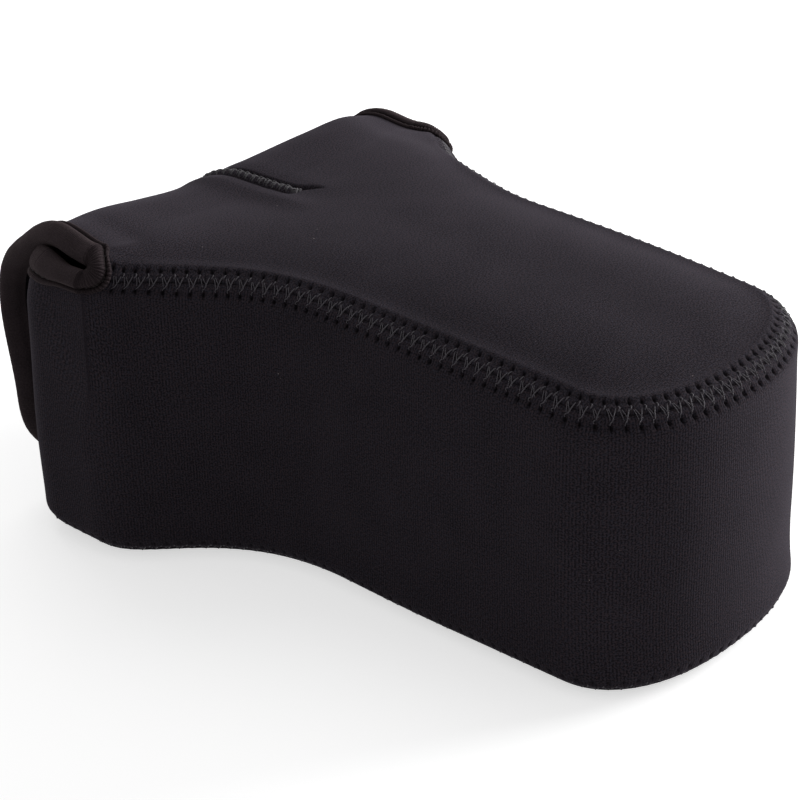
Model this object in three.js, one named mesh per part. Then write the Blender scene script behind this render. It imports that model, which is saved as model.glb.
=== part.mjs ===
// Soft neoprene pouch for a camera with its lens on: two panels, one wall strip, a hooded flap,
// bound edges, zigzag seams and a hook-and-loop closure. Millimetres, +Z up.
// The body is laid out from its back: "reach" is the distance from the back wall towards the nose,
// so the nose points along -Y. The flap lifts about the line that joins the ends of the side slots.
import * as THREE from 'three';

// Sheet, tape and clearances
const SHEET = 5;
const SEAM_GAP = 0.3;
const TAPE_GAP = 0.45;
const SEAT_GAP = 0.35;

// Plan of the top seam, seen from above
const REAR_HALF_WIDTH = 89.5;
const WAIST_HALF_WIDTH = 51.8;
const NOSE_HALF_WIDTH = 50;
const LENGTH = 223;
const NOSE_DEPTH = 29.5;
const NOSE_SQUARENESS = 2.2;
const SHOULDER_LENGTH = 82.5;
const SHOULDER_REAR_PULL = 22;
const SHOULDER_WAIST_PULL = 58;
const REAR_CORNER_RADIUS = 12;

// Height of the top seam above the floor
const SEAM_HEIGHT_REAR = 96.5;
const SEAM_HEIGHT_MIDDLE = 100;
const SEAM_HEIGHT_NOSE = 93.9;

// Soft corner: a narrow 45 degree flat along the seam between two round shoulders
const SEAM_FLAT = 3;
const SHOULDER_RADIUS = 7.3;
const WALL_BULGE = 1;
const TOP_CROWN = 4;

// Side slots and the mouth in the back wall
const SLOT_LINE = 28;
const SLOT_RADIUS = 2.5;
const SLOT_REAR_DROP = 4.5;
const MOUTH_LIP_HEIGHT = 52;
const MOUTH_FLAT_HALF = 18;

// Hooded flap
const FLAP_HALF_WIDTH = 84;
const FLAP_TAPER = 60;
const FLAP_STAND_OFF = 16.5;
const FOLD_RADIUS = 30;
const FLAP_HEM_HEIGHT = 11;
const FLAP_CORNER_RADIUS = 28;
const FLAP_FLARE = 2;
const FLARE_START = 25;
const FLAP_CROWN_END = 0.5;
const HOOD_LENGTH = 20;
const HOOD_SHARE = 0.25;
const FLAP_TUCK_END = 0.7;

// Dart on the centre line, from the flap over the fold into the top panel
const DART_END = 38;
const DART_ON_FLAP = 42;
const DART_FLOOR_HALF = 3.3;
const DART_HALF_WIDTH = 5;
const DART_DEPTH = 1.6;
const DART_FADE = 12;

// Binding tape: a soft roll over the raw edge, a stitched groove and a narrow welt on the outside
const ROLL_REACH = 2;
const ROLL_COVER = 7.4;
const ROLL_THICKNESS = 2.7;
const LINING_THICKNESS = 1.6;
const WELT_WIDTH = 2.2;

// Threads
const STITCH_PITCH = 4.2;
const STITCH_WIDTH = 7.6;
const DART_STITCH_PITCH = 3;
const DART_STITCH_WIDTH = 4.4;
const THREAD_WIDTH = 0.7;
const THREAD_HEIGHT = 0.6;
const THREAD_LIFT = 0.25;
const SEAM_THREAD_LIFT = 0.5;
const DART_THREAD_LIFT = 0.2;
const GROOVE_THREAD_LIFT = 1.5;
const ZIGZAG_POINT = 2.2;

// Hook and loop patches
const PATCH_WIDTH = 60;
const PATCH_HEIGHT = 20;
const PATCH_THICKNESS = 1.2;
const PATCH_CORNER = 3;
const PATCH_MARGIN = 1;

const COS45 = Math.SQRT1_2;
const UP = new THREE.Vector3(0, 0, 1);
const BAND_HALF = SEAM_FLAT / 2;
const SHOULDER_ARC = SHOULDER_RADIUS * Math.PI / 4;
const CORNER_LENGTH = BAND_HALF + SHOULDER_ARC;
const CORNER_RISE = BAND_HALF * COS45 + SHOULDER_RADIUS * (1 - COS45);
const CORNER_RUN = BAND_HALF * COS45 + SHOULDER_RADIUS * COS45;
const TAPE_COVER = ROLL_COVER + WELT_WIDTH;

const clamp01 = (t) => Math.min(Math.max(t, 0), 1);
const mix = (a, b, t) => a + (b - a) * t;

function smooth(t) {
  const c = clamp01(t);
  return c * c * (3 - 2 * c);
}

// Evenly spaced numbers from a to b, both ends included.
function span(a, b, count) {
  return Array.from({ length: count + 1 }, (_, i) => mix(a, b, i / count));
}

// Plan outline of the seams

const NOSE_START = LENGTH - NOSE_DEPTH;

// The shoulder between the wide back and the narrow lens end, as one smooth S.
const SHOULDER_END = SLOT_LINE + SHOULDER_LENGTH;
const SHOULDER = new THREE.CubicBezierCurve(
  new THREE.Vector2(REAR_HALF_WIDTH, SLOT_LINE),
  new THREE.Vector2(REAR_HALF_WIDTH, SLOT_LINE + SHOULDER_REAR_PULL),
  new THREE.Vector2(WAIST_HALF_WIDTH, SHOULDER_END - SHOULDER_WAIST_PULL),
  new THREE.Vector2(WAIST_HALF_WIDTH, SHOULDER_END),
);

// Half outline as [x, reach] from the middle of the back to the tip of the nose.
function halfOutline() {
  const points = [];
  const flat = REAR_HALF_WIDTH - REAR_CORNER_RADIUS;
  for (const x of span(0, flat, 24)) {
    points.push([x, 0]);
  }
  for (const angle of span(0, Math.PI / 2, 24).slice(1)) {
    const x = flat + REAR_CORNER_RADIUS * Math.sin(angle);
    points.push([x, REAR_CORNER_RADIUS * (1 - Math.cos(angle))]);
  }
  for (const point of SHOULDER.getPoints(120)) {
    points.push([point.x, point.y]);
  }
  points.push([NOSE_HALF_WIDTH, NOSE_START]);
  for (const angle of span(0, Math.PI / 2, 60).slice(1)) {
    const x = NOSE_HALF_WIDTH * Math.cos(angle) ** (2 / NOSE_SQUARENESS);
    points.push([Math.abs(x), NOSE_START + NOSE_DEPTH * Math.sin(angle) ** (2 / NOSE_SQUARENESS)]);
  }
  points[points.length - 1][0] = 0;
  return points;
}

const OUTLINE = halfOutline();
const DISTANCE = [0];
for (let i = 1; i < OUTLINE.length; i += 1) {
  const [x0, r0] = OUTLINE[i - 1];
  const [x1, r1] = OUTLINE[i];
  DISTANCE.push(DISTANCE[i - 1] + Math.hypot(x1 - x0, r1 - r0));
}
const HALF_GIRTH = DISTANCE[DISTANCE.length - 1];

function outlinePoint(along) {
  const wrapped = along - 2 * HALF_GIRTH * Math.round(along / (2 * HALF_GIRTH));
  const distance = Math.abs(wrapped);
  let i = 1;
  while (i < DISTANCE.length - 1 && DISTANCE[i] < distance) {
    i += 1;
  }
  const t = (distance - DISTANCE[i - 1]) / (DISTANCE[i] - DISTANCE[i - 1]);
  const x = mix(OUTLINE[i - 1][0], OUTLINE[i][0], t);
  const reach = mix(OUTLINE[i - 1][1], OUTLINE[i][1], t);
  return { x: wrapped < 0 ? -x : x, reach };
}

// Distance along the outline at which the side reaches a given distance from the back.
function alongAt(reach) {
  const i = OUTLINE.findIndex((point) => point[1] > reach);
  const t = (reach - OUTLINE[i - 1][1]) / (OUTLINE[i][1] - OUTLINE[i - 1][1]);
  return mix(DISTANCE[i - 1], DISTANCE[i], t);
}

// Outward direction of the outline in plan.
function outlineNormal(along) {
  const before = outlinePoint(along - 0.5);
  const after = outlinePoint(along + 0.5);
  return new THREE.Vector3(after.reach - before.reach, after.x - before.x, 0).normalize();
}

// Half width of the seam line at a distance from the back.
function halfWidth(reach) {
  return outlinePoint(alongAt(reach)).x;
}

const SLOT_ALONG = alongAt(SLOT_LINE);
const CORNER_ALONG = REAR_HALF_WIDTH - REAR_CORNER_RADIUS;

// Cross-section of the soft corner: inward run, rise and tilt at a distance from the seam
function corner(distance) {
  if (distance < BAND_HALF) {
    return { run: distance * COS45, rise: distance * COS45, tilt: Math.PI / 4 };
  }
  const turn = Math.min((distance - BAND_HALF) / SHOULDER_RADIUS, Math.PI / 4);
  const tilt = Math.PI / 4 - turn;
  const flat = Math.max(distance - CORNER_LENGTH, 0);
  return {
    run: BAND_HALF * COS45 + SHOULDER_RADIUS * (COS45 - Math.sin(tilt)) + flat,
    rise: BAND_HALF * COS45 + SHOULDER_RADIUS * (Math.cos(tilt) - COS45),
    tilt,
  };
}

function seamHeight(reach) {
  const u = reach / LENGTH;
  const rear = SEAM_HEIGHT_REAR * (1 - u) * (1 - 2 * u);
  const middle = 4 * SEAM_HEIGHT_MIDDLE * u * (1 - u);
  return rear + middle + SEAM_HEIGHT_NOSE * u * (2 * u - 1);
}

// How far the top and the flap stand above the flat of their shoulders.
function crown(edgeShare) {
  return TOP_CROWN * (1 - edgeShare ** 3);
}

function topRelief(edgeShare, x, reach) {
  return crown(edgeShare) - dartDepth(x, reach);
}

// The dart's groove across: a flat floor that carries the stitches, between two sloping sides.
function dartGroove(x) {
  return DART_DEPTH * clamp01((DART_HALF_WIDTH - Math.abs(x)) / (DART_HALF_WIDTH - DART_FLOOR_HALF));
}

function dartDepth(x, reach) {
  return dartGroove(x) * smooth((DART_END - reach) / (DART_END - SLOT_LINE));
}

// Point of the spine that a row of a panel runs to, so that rows fan out at both ends.
const REAR_FAN = REAR_HALF_WIDTH * 0.45;
const NOSE_FAN = LENGTH - NOSE_HALF_WIDTH * 0.8;

function spineReach(reach) {
  return Math.min(Math.max(reach, REAR_FAN), NOSE_FAN);
}

function topSpineReach(reach) {
  return Math.min(reach, NOSE_FAN);
}

// Surface points. Each takes a lift off the outer face, so lift -SHEET is the inside.

// Outer skin of wall and top by distance along the seam and distance above (+) or below (-) it.
function skin(along, above, lift) {
  return above >= 0 ? topSkin(along, above, lift) : wallSkin(along, wallLength(along) + above, lift);
}

function topSkin(along, inward, lift) {
  const edge = outlinePoint(along);
  const out = outlineNormal(along);
  const section = corner(Math.min(inward, CORNER_LENGTH));
  const flatStart = { x: edge.x - out.x * section.run, reach: edge.reach + out.y * section.run };
  const spine = topSpineReach(edge.reach);
  const flatLength = Math.hypot(flatStart.x, flatStart.reach - spine);
  const share = clamp01((inward - CORNER_LENGTH) / flatLength);
  const x = mix(flatStart.x, 0, share);
  const reach = mix(flatStart.reach, spine, share);
  const base = mix(seamHeight(edge.reach), seamHeight(spine), share) + section.rise;
  const relief = inward > CORNER_LENGTH ? topRelief(1 - share, x, reach) : 0;
  const point = new THREE.Vector3(x, -reach, base + relief);
  point.addScaledVector(out, lift * Math.sin(section.tilt));
  return point.addScaledVector(UP, lift * Math.cos(section.tilt));
}

// Length of the wall's section from the bottom seam to the top seam.
function wallLength(along) {
  const straight = seamHeight(outlinePoint(along).reach) - CORNER_RISE - 2 * CORNER_RUN;
  return 2 * CORNER_LENGTH + straight;
}

// Outer skin of the wall by distance up its section from the bottom seam.
function wallSkin(along, up, lift) {
  const edge = outlinePoint(along);
  const out = outlineNormal(along);
  const length = wallLength(along);
  const low = CORNER_RISE;
  const high = seamHeight(edge.reach);
  const fromTop = up > length / 2;
  const section = corner(fromTop ? length - up : up);
  const z = fromTop ? high - section.run : low + section.run;
  const bulge = WALL_BULGE * Math.sin(Math.PI * clamp01((z - low) / (high - low)));
  const point = new THREE.Vector3(edge.x, -edge.reach, z);
  point.addScaledVector(out, section.rise + bulge + lift * Math.cos(section.tilt));
  return point.addScaledVector(UP, lift * Math.sin(section.tilt) * (fromTop ? 1 : -1));
}

// Underside of the body by distance along the seam and distance inward from it.
function bottomSkin(along, inward, lift) {
  const edge = outlinePoint(along);
  const out = outlineNormal(along);
  const section = corner(Math.min(inward, CORNER_LENGTH));
  const flatStart = { x: edge.x - out.x * section.run, reach: edge.reach + out.y * section.run };
  const spine = spineReach(edge.reach);
  const flatLength = Math.hypot(flatStart.x, flatStart.reach - spine);
  const share = clamp01((inward - CORNER_LENGTH) / flatLength);
  const point = new THREE.Vector3(mix(flatStart.x, 0, share), -mix(flatStart.reach, spine, share), 0);
  point.z = CORNER_RISE - section.rise;
  point.addScaledVector(out, lift * Math.sin(section.tilt));
  return point.addScaledVector(UP, -lift * Math.cos(section.tilt));
}

// Flap: over the top, round the fold and down the back

const FLAP_TOP = seamHeight(SLOT_LINE) + CORNER_RISE;
const FOLD_CENTRE_Y = FLAP_STAND_OFF - FOLD_RADIUS;
const FOLD_CENTRE_Z = FLAP_TOP - FOLD_RADIUS;
const FLAP_TOP_LENGTH = FOLD_CENTRE_Y + SLOT_LINE;
const FOLD_LENGTH = FOLD_RADIUS * Math.PI / 2;
const FLAP_BACK_LENGTH = FOLD_CENTRE_Z - FLAP_HEM_HEIGHT;
const FLAP_LENGTH = FLAP_TOP_LENGTH + FOLD_LENGTH + FLAP_BACK_LENGTH;
const CLOSED_STACK = CORNER_RISE + WALL_BULGE + 3 * SEAT_GAP + 2 * PATCH_THICKNESS + SHEET;
const FLAP_TUCK = FLAP_STAND_OFF - CLOSED_STACK;

// Half length of the flap's flat across, and of its whole width up to the line of the seams.
function flapFlat(down) {
  return mix(REAR_HALF_WIDTH, FLAP_HALF_WIDTH, smooth(down / FLAP_TAPER)) - CORNER_RUN;
}

function flapPath(down) {
  if (down < FLAP_TOP_LENGTH) {
    return { y: down - SLOT_LINE, z: FLAP_TOP, angle: 0 };
  }
  const angle = Math.min((down - FLAP_TOP_LENGTH) / FOLD_RADIUS, Math.PI / 2);
  const below = Math.max(down - FLAP_TOP_LENGTH - FOLD_LENGTH, 0);
  const y = FOLD_CENTRE_Y + FOLD_RADIUS * Math.sin(angle);
  return { y, z: FOLD_CENTRE_Z + FOLD_RADIUS * Math.cos(angle) - below, angle };
}

// Outer skin of the flap by distance across from the centre line and distance down from the slot line.
function flapSkin(across, down, lift) {
  const flat = flapFlat(down);
  const side = Math.sign(across) || 1;
  const distance = Math.abs(across);
  const path = flapPath(down);
  const edgeShare = clamp01(distance / flat);
  const inBand = distance > flat;
  const section = corner(inBand ? flat + CORNER_LENGTH - distance : CORNER_LENGTH);
  const x = inBand ? side * (flat + CORNER_RUN - section.run) : across;
  const back = clamp01((down - FLAP_TOP_LENGTH - FOLD_LENGTH) / FLAP_BACK_LENGTH);
  const hooded = crown(edgeShare * (1 - HOOD_SHARE * smooth(down / HOOD_LENGTH)));
  const swell = hooded * (1 - smooth(back / FLAP_CROWN_END));
  const groove = dartGroove(x) * smooth((DART_ON_FLAP - down) / DART_FADE);
  const flare = FLAP_FLARE * edgeShare ** 3 * smooth(down / FLARE_START);
  const tuck = FLAP_TUCK * smooth(back / FLAP_TUCK_END) * (1 - edgeShare ** 2);
  const relief = flare + swell - groove - (CORNER_RISE - section.rise);
  const face = new THREE.Vector3(0, Math.sin(path.angle), Math.cos(path.angle));
  const point = new THREE.Vector3(x, path.y - tuck, path.z);
  point.addScaledVector(face, relief + lift * Math.cos(section.tilt));
  point.x += side * lift * Math.sin(section.tilt);
  return point;
}

// Closed solids

// A solid from rings of points that follow one another; the two end rings are capped, or closed up.
function ringSolid(rings, { loop = false, caps = true } = {}) {
  const size = rings[0].length;
  const positions = rings.flat();
  const triangles = [];
  const last = loop ? rings.length : rings.length - 1;
  for (let i = 0; i < last; i += 1) {
    const next = (i + 1) % rings.length;
    for (let j = 0; j < size; j += 1) {
      const a = i * size + j;
      const b = i * size + (j + 1) % size;
      const c = next * size + (j + 1) % size;
      const d = next * size + j;
      triangles.push([a, b, c], [a, c, d]);
    }
  }
  if (caps && !loop) {
    for (const [a, b, c] of ringCap(rings[0])) {
      triangles.push([c, b, a]);
    }
    const offset = (rings.length - 1) * size;
    for (const [a, b, c] of ringCap(rings[rings.length - 1])) {
      triangles.push([a + offset, b + offset, c + offset]);
    }
  }
  return solidGeometry(positions, triangles);
}

// Triangles over one ring, found in the plane that it lies in most nearly.
function ringCap(ring) {
  const normal = new THREE.Vector3();
  for (let i = 0; i < ring.length; i += 1) {
    normal.add(ring[i].clone().cross(ring[(i + 1) % ring.length]));
  }
  const sizes = normal.toArray().map(Math.abs);
  const drop = sizes.indexOf(Math.max(...sizes));
  const [u, v] = [[1, 2], [2, 0], [0, 1]][drop];
  const flat = ring.map((point) => new THREE.Vector2(point.toArray()[u], point.toArray()[v]));
  const faces = THREE.ShapeUtils.triangulateShape(flat, []);
  return normal.toArray()[drop] > 0 ? faces.map(([a, b, c]) => [a, b, c]) : faces.map(([a, b, c]) => [c, b, a]);
}

// Merges points that coincide, drops empty triangles and turns the faces outward.
function solidGeometry(points, triangles) {
  const merged = new Map();
  const positions = [];
  const index = points.map((point) => {
    const key = point.toArray().map((value) => Math.round(value * 1e3)).join();
    if (!merged.has(key)) {
      merged.set(key, positions.length / 3);
      positions.push(point.x, point.y, point.z);
    }
    return merged.get(key);
  });
  const corners = triangles.map((triangle) => triangle.map((i) => index[i]));
  const kept = corners.filter(([a, b, c]) => a !== b && b !== c && c !== a);
  const at = (i) => new THREE.Vector3().fromArray(positions, i * 3);
  const volume = kept.reduce((sum, [a, b, c]) => sum + at(a).dot(at(b).cross(at(c))), 0);
  const facing = volume < 0 ? kept.map(([a, b, c]) => [c, b, a]) : kept;
  const geometry = new THREE.BufferGeometry();
  geometry.setAttribute('position', new THREE.Float32BufferAttribute(positions, 3));
  geometry.setIndex(facing.flat());
  geometry.computeVertexNormals();
  return geometry;
}

// A sheet between two lifts of a skin: rows of [u, v] pairs, one ring to a row.
function sheetSolid(skinAt, rows, outerLift, innerLift, options) {
  const rings = rows.map((row) => {
    const outer = row.map(([u, v]) => skinAt(u, v, outerLift));
    const inner = row.map(([u, v]) => skinAt(u, v, innerLift)).reverse();
    return outer.concat(inner);
  });
  return ringSolid(rings, options);
}

// Panels

const HALF_SEAM_GAP = SEAM_GAP / 2;

// Distance from the seam to the raw edge, round the quarter circle at the end of each slot.
function slotInset(along) {
  const past = Math.abs(along) - SLOT_ALONG;
  if (past > SLOT_RADIUS) {
    return HALF_SEAM_GAP;
  }
  return Math.max(Math.sqrt(SLOT_RADIUS ** 2 - Math.max(past, 0) ** 2), HALF_SEAM_GAP);
}

// Distances along the outline where a panel has a row: slot end, shoulder and nose.
function sideStations() {
  const quarter = span(0, Math.PI / 2, 4).map((angle) => SLOT_ALONG + SLOT_RADIUS * Math.sin(angle));
  const slotEnd = quarter[quarter.length - 1];
  const noseStart = alongAt(NOSE_START);
  const shoulderEnd = alongAt(SHOULDER_END);
  const shoulder = span(slotEnd, shoulderEnd, 12).slice(1);
  const side = span(shoulderEnd, noseStart, 3).slice(1);
  const nose = span(noseStart, HALF_GIRTH, 8).slice(1);
  return [...quarter, ...shoulder, ...side, ...nose];
}

function rearStations() {
  const back = span(0, CORNER_ALONG, 7);
  const turn = span(CORNER_ALONG, alongAt(REAR_CORNER_RADIUS), 6).slice(1);
  return [...back, ...turn];
}

// Points that a section takes round a soft corner.
const CORNER_STEPS = 3;

// One row across a panel: from the left edge through the spine to the right edge.
function panelRow(skinAt, along, insets) {
  const right = insets.map((inward) => [along, inward]);
  const left = insets.map((inward) => [-along, inward]);
  return [...left, ...right.slice(0, -1).reverse()];
}

// Distances inward from the seam at which a row has a point.
function panelInsets(along, edgeInset, shares, spineAt) {
  const edge = outlinePoint(along);
  const out = outlineNormal(along);
  const flatX = edge.x - out.x * CORNER_RUN;
  const flatReach = edge.reach + out.y * CORNER_RUN;
  const flatLength = Math.hypot(flatX, flatReach - spineAt(edge.reach));
  const flat = shares.map((share) => CORNER_LENGTH + share * flatLength);
  return [...span(edgeInset, CORNER_LENGTH, CORNER_STEPS), ...flat];
}

function topPanel() {
  const halfFlat = REAR_HALF_WIDTH - CORNER_RUN;
  const shares = [0.35, 0.7, 1 - DART_HALF_WIDTH / halfFlat, 1 - DART_FLOOR_HALF / halfFlat, 1];
  const rows = sideStations().map((station, i) => {
    const along = i === 0 ? station + HALF_SEAM_GAP : station;
    return panelRow(topSkin, along, panelInsets(along, slotInset(along), shares, topSpineReach));
  });
  return sheetSolid(topSkin, rows, 0, -SHEET);
}

function bottomPanel() {
  const stations = [...rearStations(), ...sideStations()];
  const rows = stations.map((along) =>
    panelRow(bottomSkin, along, panelInsets(along, HALF_SEAM_GAP, [1], spineReach)));
  return sheetSolid(bottomSkin, rows, 0, -SHEET, { caps: false });
}

// Distance from the bottom seam up to the wall's raw edge.
function wallEdge(along) {
  const distance = Math.abs(along);
  const full = wallLength(along);
  if (distance >= SLOT_ALONG) {
    return full - slotInset(along);
  }
  const lip = CORNER_LENGTH + (MOUTH_LIP_HEIGHT - CORNER_RISE - CORNER_RUN);
  const rearShare = smooth((SLOT_ALONG - distance) / (SLOT_ALONG - CORNER_ALONG));
  const arm = full - SLOT_RADIUS - SLOT_REAR_DROP * rearShare;
  return mix(lip, arm, smooth((distance - MOUTH_FLAT_HALF) / (CORNER_ALONG - MOUTH_FLAT_HALF)));
}

// Distances along the outline from the middle of the back to the slot, where the wall's edge has a point.
function wallEdgeStations() {
  const cornerEnd = alongAt(REAR_CORNER_RADIUS);
  return [...rearStations(), ...span(cornerEnd, SLOT_ALONG, 3).slice(1, -1)];
}

function sideWall() {
  const half = [...wallEdgeStations(), ...sideStations()];
  half[0] = HALF_SEAM_GAP;
  const mirrored = half.slice(0, -1).map((along) => 2 * HALF_GIRTH - along).reverse();
  const rows = [...half, ...mirrored].map((along) => {
    const signed = along > HALF_GIRTH ? along - 2 * HALF_GIRTH : along;
    const full = wallLength(signed);
    const edge = wallEdge(signed);
    const low = span(HALF_SEAM_GAP, CORNER_LENGTH, CORNER_STEPS);
    const high = span(full - CORNER_LENGTH, full - HALF_SEAM_GAP, CORNER_STEPS).slice(0, -1);
    const capped = high.map((value, i) => Math.min(value, edge - SLOT_RADIUS * (high.length - i)));
    const middle = span(CORNER_LENGTH, capped[0], 2).slice(1, -1);
    return [...low, ...middle, ...capped, edge].map((up) => [signed, up]);
  });
  return sheetSolid(wallSkin, rows, 0, -SHEET);
}

// Half the flap's width at its raw edge, round the lower corners.
function flapEdge(down) {
  const full = flapFlat(down) + CORNER_LENGTH - SLOT_RADIUS;
  const past = Math.max(down - (FLAP_LENGTH - FLAP_CORNER_RADIUS), 0);
  return full - FLAP_CORNER_RADIUS + Math.sqrt(Math.max(FLAP_CORNER_RADIUS ** 2 - past ** 2, 0));
}

function flapStations() {
  const top = span(HALF_SEAM_GAP, FLAP_TOP_LENGTH, 3);
  const fold = span(FLAP_TOP_LENGTH, FLAP_TOP_LENGTH + FOLD_LENGTH, 6).slice(1);
  const back = span(FLAP_TOP_LENGTH + FOLD_LENGTH, FLAP_LENGTH - FLAP_CORNER_RADIUS, 4).slice(1);
  const turn = span(0, Math.PI / 2, 6).slice(1)
    .map((angle) => FLAP_LENGTH - FLAP_CORNER_RADIUS * (1 - Math.sin(angle)));
  return [...top, ...fold, ...back, ...turn];
}

function flapPanel() {
  const rows = flapStations().map((down) => {
    const edge = flapEdge(down);
    const flat = flapFlat(down);
    const outer = span(flat + CORNER_LENGTH - SLOT_RADIUS, flat, CORNER_STEPS);
    const inner = [0.9, 0.7, 0.4].map((share) => flat * share);
    const shrink = edge / outer[0];
    const half = [...outer, ...inner, DART_HALF_WIDTH, DART_FLOOR_HALF, 0].map((across) => across * shrink);
    const left = half.map((across) => [-across, down]);
    const right = half.slice(0, -1).map((across) => [across, down]).reverse();
    return [...left, ...right];
  });
  return sheetSolid(flapSkin, rows, 0, -SHEET);
}

// Binding tape, folded round a raw edge

// Section as [past the edge, lift off the outer face], wound once round the folded tape.
function tapeSection() {
  const welt = -TAPE_COVER;
  const groove = -ROLL_COVER;
  const channelOut = TAPE_GAP;
  const channelIn = -SHEET - TAPE_GAP;
  const webIn = TAPE_GAP * 2;
  const lining = channelIn - LINING_THICKNESS;
  const roll = TAPE_GAP + ROLL_THICKNESS;
  const middle = -SHEET / 2;
  const channel = [0.27, 0.52, 0.77].map((share) => mix(welt, TAPE_GAP, share));
  return [
    [welt, channelOut],
    [welt, channelOut + WELT_WIDTH * 0.4],
    [welt + WELT_WIDTH * 0.5, channelOut + WELT_WIDTH * 0.75],
    [groove, channelOut + WELT_WIDTH * 0.35],
    [groove * 0.8, roll * 0.85],
    [groove * 0.5, roll],
    [groove * 0.12, roll * 0.85],
    [ROLL_REACH * 0.7, mix(roll, middle, 0.5)],
    [ROLL_REACH, middle],
    [ROLL_REACH * 0.88, mix(lining, middle, 0.45)],
    [groove * 0.08, mix(lining, channelIn, 0.2)],
    [groove * 0.5, lining],
    [groove, mix(lining, channelIn, 0.3)],
    [groove - WELT_WIDTH * 0.2, channelIn],
    [channel[1], channelIn],
    [channel[2], channelIn],
    [webIn, channelIn],
    [TAPE_GAP, channelOut],
    [channel[2], channelOut],
    [channel[1], channelOut],
    [channel[0], channelOut],
  ];
}

// Stations of an edge as { u, v, pastU, pastV }: a point of the edge and the way out of the sheet.
function edgeStations(points, startWay, endWay) {
  return points.map(([u, v], i) => {
    const before = points[Math.max(i - 1, 0)];
    const after = points[Math.min(i + 1, points.length - 1)];
    const length = Math.hypot(after[0] - before[0], after[1] - before[1]);
    const way = [(before[1] - after[1]) / length, (after[0] - before[0]) / length];
    const [pastU, pastV] = (i === 0 && startWay) || (i === points.length - 1 && endWay) || way;
    return { u, v, pastU, pastV };
  });
}

// The section is wound the other way from the sheet's own rings, so that where the edge twists, the
// faces of the tape's channel are split along the same diagonals as the sheet inside it.
function tapeSolid(skinAt, stations) {
  const section = tapeSection().reverse();
  const rings = stations.map(({ u, v, pastU, pastV }) =>
    section.map(([past, lift]) => skinAt(u + pastU * past, v + pastV * past, lift)));
  return ringSolid(rings);
}

// Mouth edge from slot to slot: round the left slot end, along the wall and round the right slot end.
function mouthStations() {
  const turn = span(-Math.PI / 2, Math.PI / 2, 12).map((angle) =>
    [SLOT_ALONG + SLOT_RADIUS * Math.cos(angle), SLOT_RADIUS * Math.sin(angle)]);
  const wall = wallEdgeStations().map((along) => [along, wallEdge(along) - wallLength(along)]);
  const right = [...wall, ...turn];
  right[right.length - 1][0] += HALF_SEAM_GAP;
  const left = right.slice(1).map(([along, above]) => [-along, above]).reverse();
  return edgeStations([...left, ...right], [0, -1], [0, -1]);
}

// Flap edge from slot to slot: down the left side, along the hem and up the right side.
function flapEdgeStations() {
  const side = flapStations().map((down) => [flapEdge(down), down]);
  const hemEnd = side[side.length - 1][0];
  const hem = span(hemEnd, -hemEnd, 6).slice(1, -1).map((across) => [across, FLAP_LENGTH]);
  const left = side.map(([across, down]) => [-across, down]).reverse();
  const path = [...side, ...hem, ...left];
  return edgeStations(path).map(({ u, v, pastU, pastV }) => ({ u, v, pastU: -pastU, pastV: -pastV }))
    .map((station, i) => (i === 0 ? { ...station, pastU: 1, pastV: 0 } : station))
    .map((station, i) => (i === path.length - 1 ? { ...station, pastU: -1, pastV: 0 } : station));
}

// Threads: a low three-sided bead that lies on a skin

// Each point is [u, v, halfU, halfV]: a place on the skin and half the thread's width there.
function threadSolid(skinAt, points, lift = 0, loop = false) {
  const low = lift + THREAD_LIFT;
  const rings = points.map(([u, v, halfU, halfV]) => [
    skinAt(u - halfU, v - halfV, low),
    skinAt(u + halfU, v + halfV, low),
    skinAt(u, v, low + THREAD_HEIGHT),
  ]);
  return ringSolid(rings, { loop });
}

// Zigzag of whole stitches between two distances, swung to both sides of a seam.
function zigzag(from, to, pitch, width) {
  const legs = 2 * Math.max(Math.round((to - from) / pitch), 1);
  const half = THREAD_WIDTH / 2 * ZIGZAG_POINT;
  return span(from, to, legs).map((along, i) => ({ along, swing: (i % 2 ? 1 : -1) * width / 2, half }));
}

function topSeamThread() {
  const start = SLOT_ALONG + SLOT_RADIUS + TAPE_COVER + STITCH_PITCH / 2;
  const points = zigzag(start, 2 * HALF_GIRTH - start, STITCH_PITCH, STITCH_WIDTH);
  const placed = points.map(({ along, swing, half }) => [along, swing, 0, half]);
  return threadSolid(skin, placed, SEAM_THREAD_LIFT);
}

function rearSeamThread() {
  const start = BAND_HALF + STITCH_PITCH;
  const end = PATCH_ON_WALL - PATCH_HEIGHT / 2 - STITCH_PITCH / 2;
  const points = zigzag(start, end, STITCH_PITCH, DART_STITCH_WIDTH);
  return threadSolid(wallSkin, points.map(({ along, swing, half }) => [swing, along, half, 0]));
}

// Skin of the top round the centre line, by x and distance from the back.
function topMiddleSkin(x, reach, lift) {
  const flat = halfWidth(reach) - CORNER_RUN;
  const z = seamHeight(reach) + CORNER_RISE + topRelief(Math.abs(x) / flat, x, reach) + lift;
  return new THREE.Vector3(x, -reach, z);
}

function dartTopThread() {
  const points = zigzag(SLOT_LINE + DART_STITCH_PITCH / 2, DART_END, DART_STITCH_PITCH, DART_STITCH_WIDTH);
  const placed = points.map(({ along, swing, half }) => [swing, along, half, 0]);
  return threadSolid(topMiddleSkin, placed, DART_THREAD_LIFT);
}

function dartFlapThread() {
  const points = zigzag(DART_STITCH_PITCH / 2, DART_ON_FLAP, DART_STITCH_PITCH, DART_STITCH_WIDTH);
  const placed = points.map(({ along, swing, half }) => [swing, along, half, 0]);
  return threadSolid(flapSkin, placed, DART_THREAD_LIFT);
}

// Straight run in the groove of a binding.
function grooveThread(skinAt, stations) {
  const half = THREAD_WIDTH / 2;
  const points = stations.slice(1, -1).map(({ u, v, pastU, pastV }) => [
    u - pastU * ROLL_COVER,
    v - pastV * ROLL_COVER,
    pastU * half,
    pastV * half,
  ]);
  return threadSolid(skinAt, points, GROOVE_THREAD_LIFT);
}

// Hook and loop patches

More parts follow.
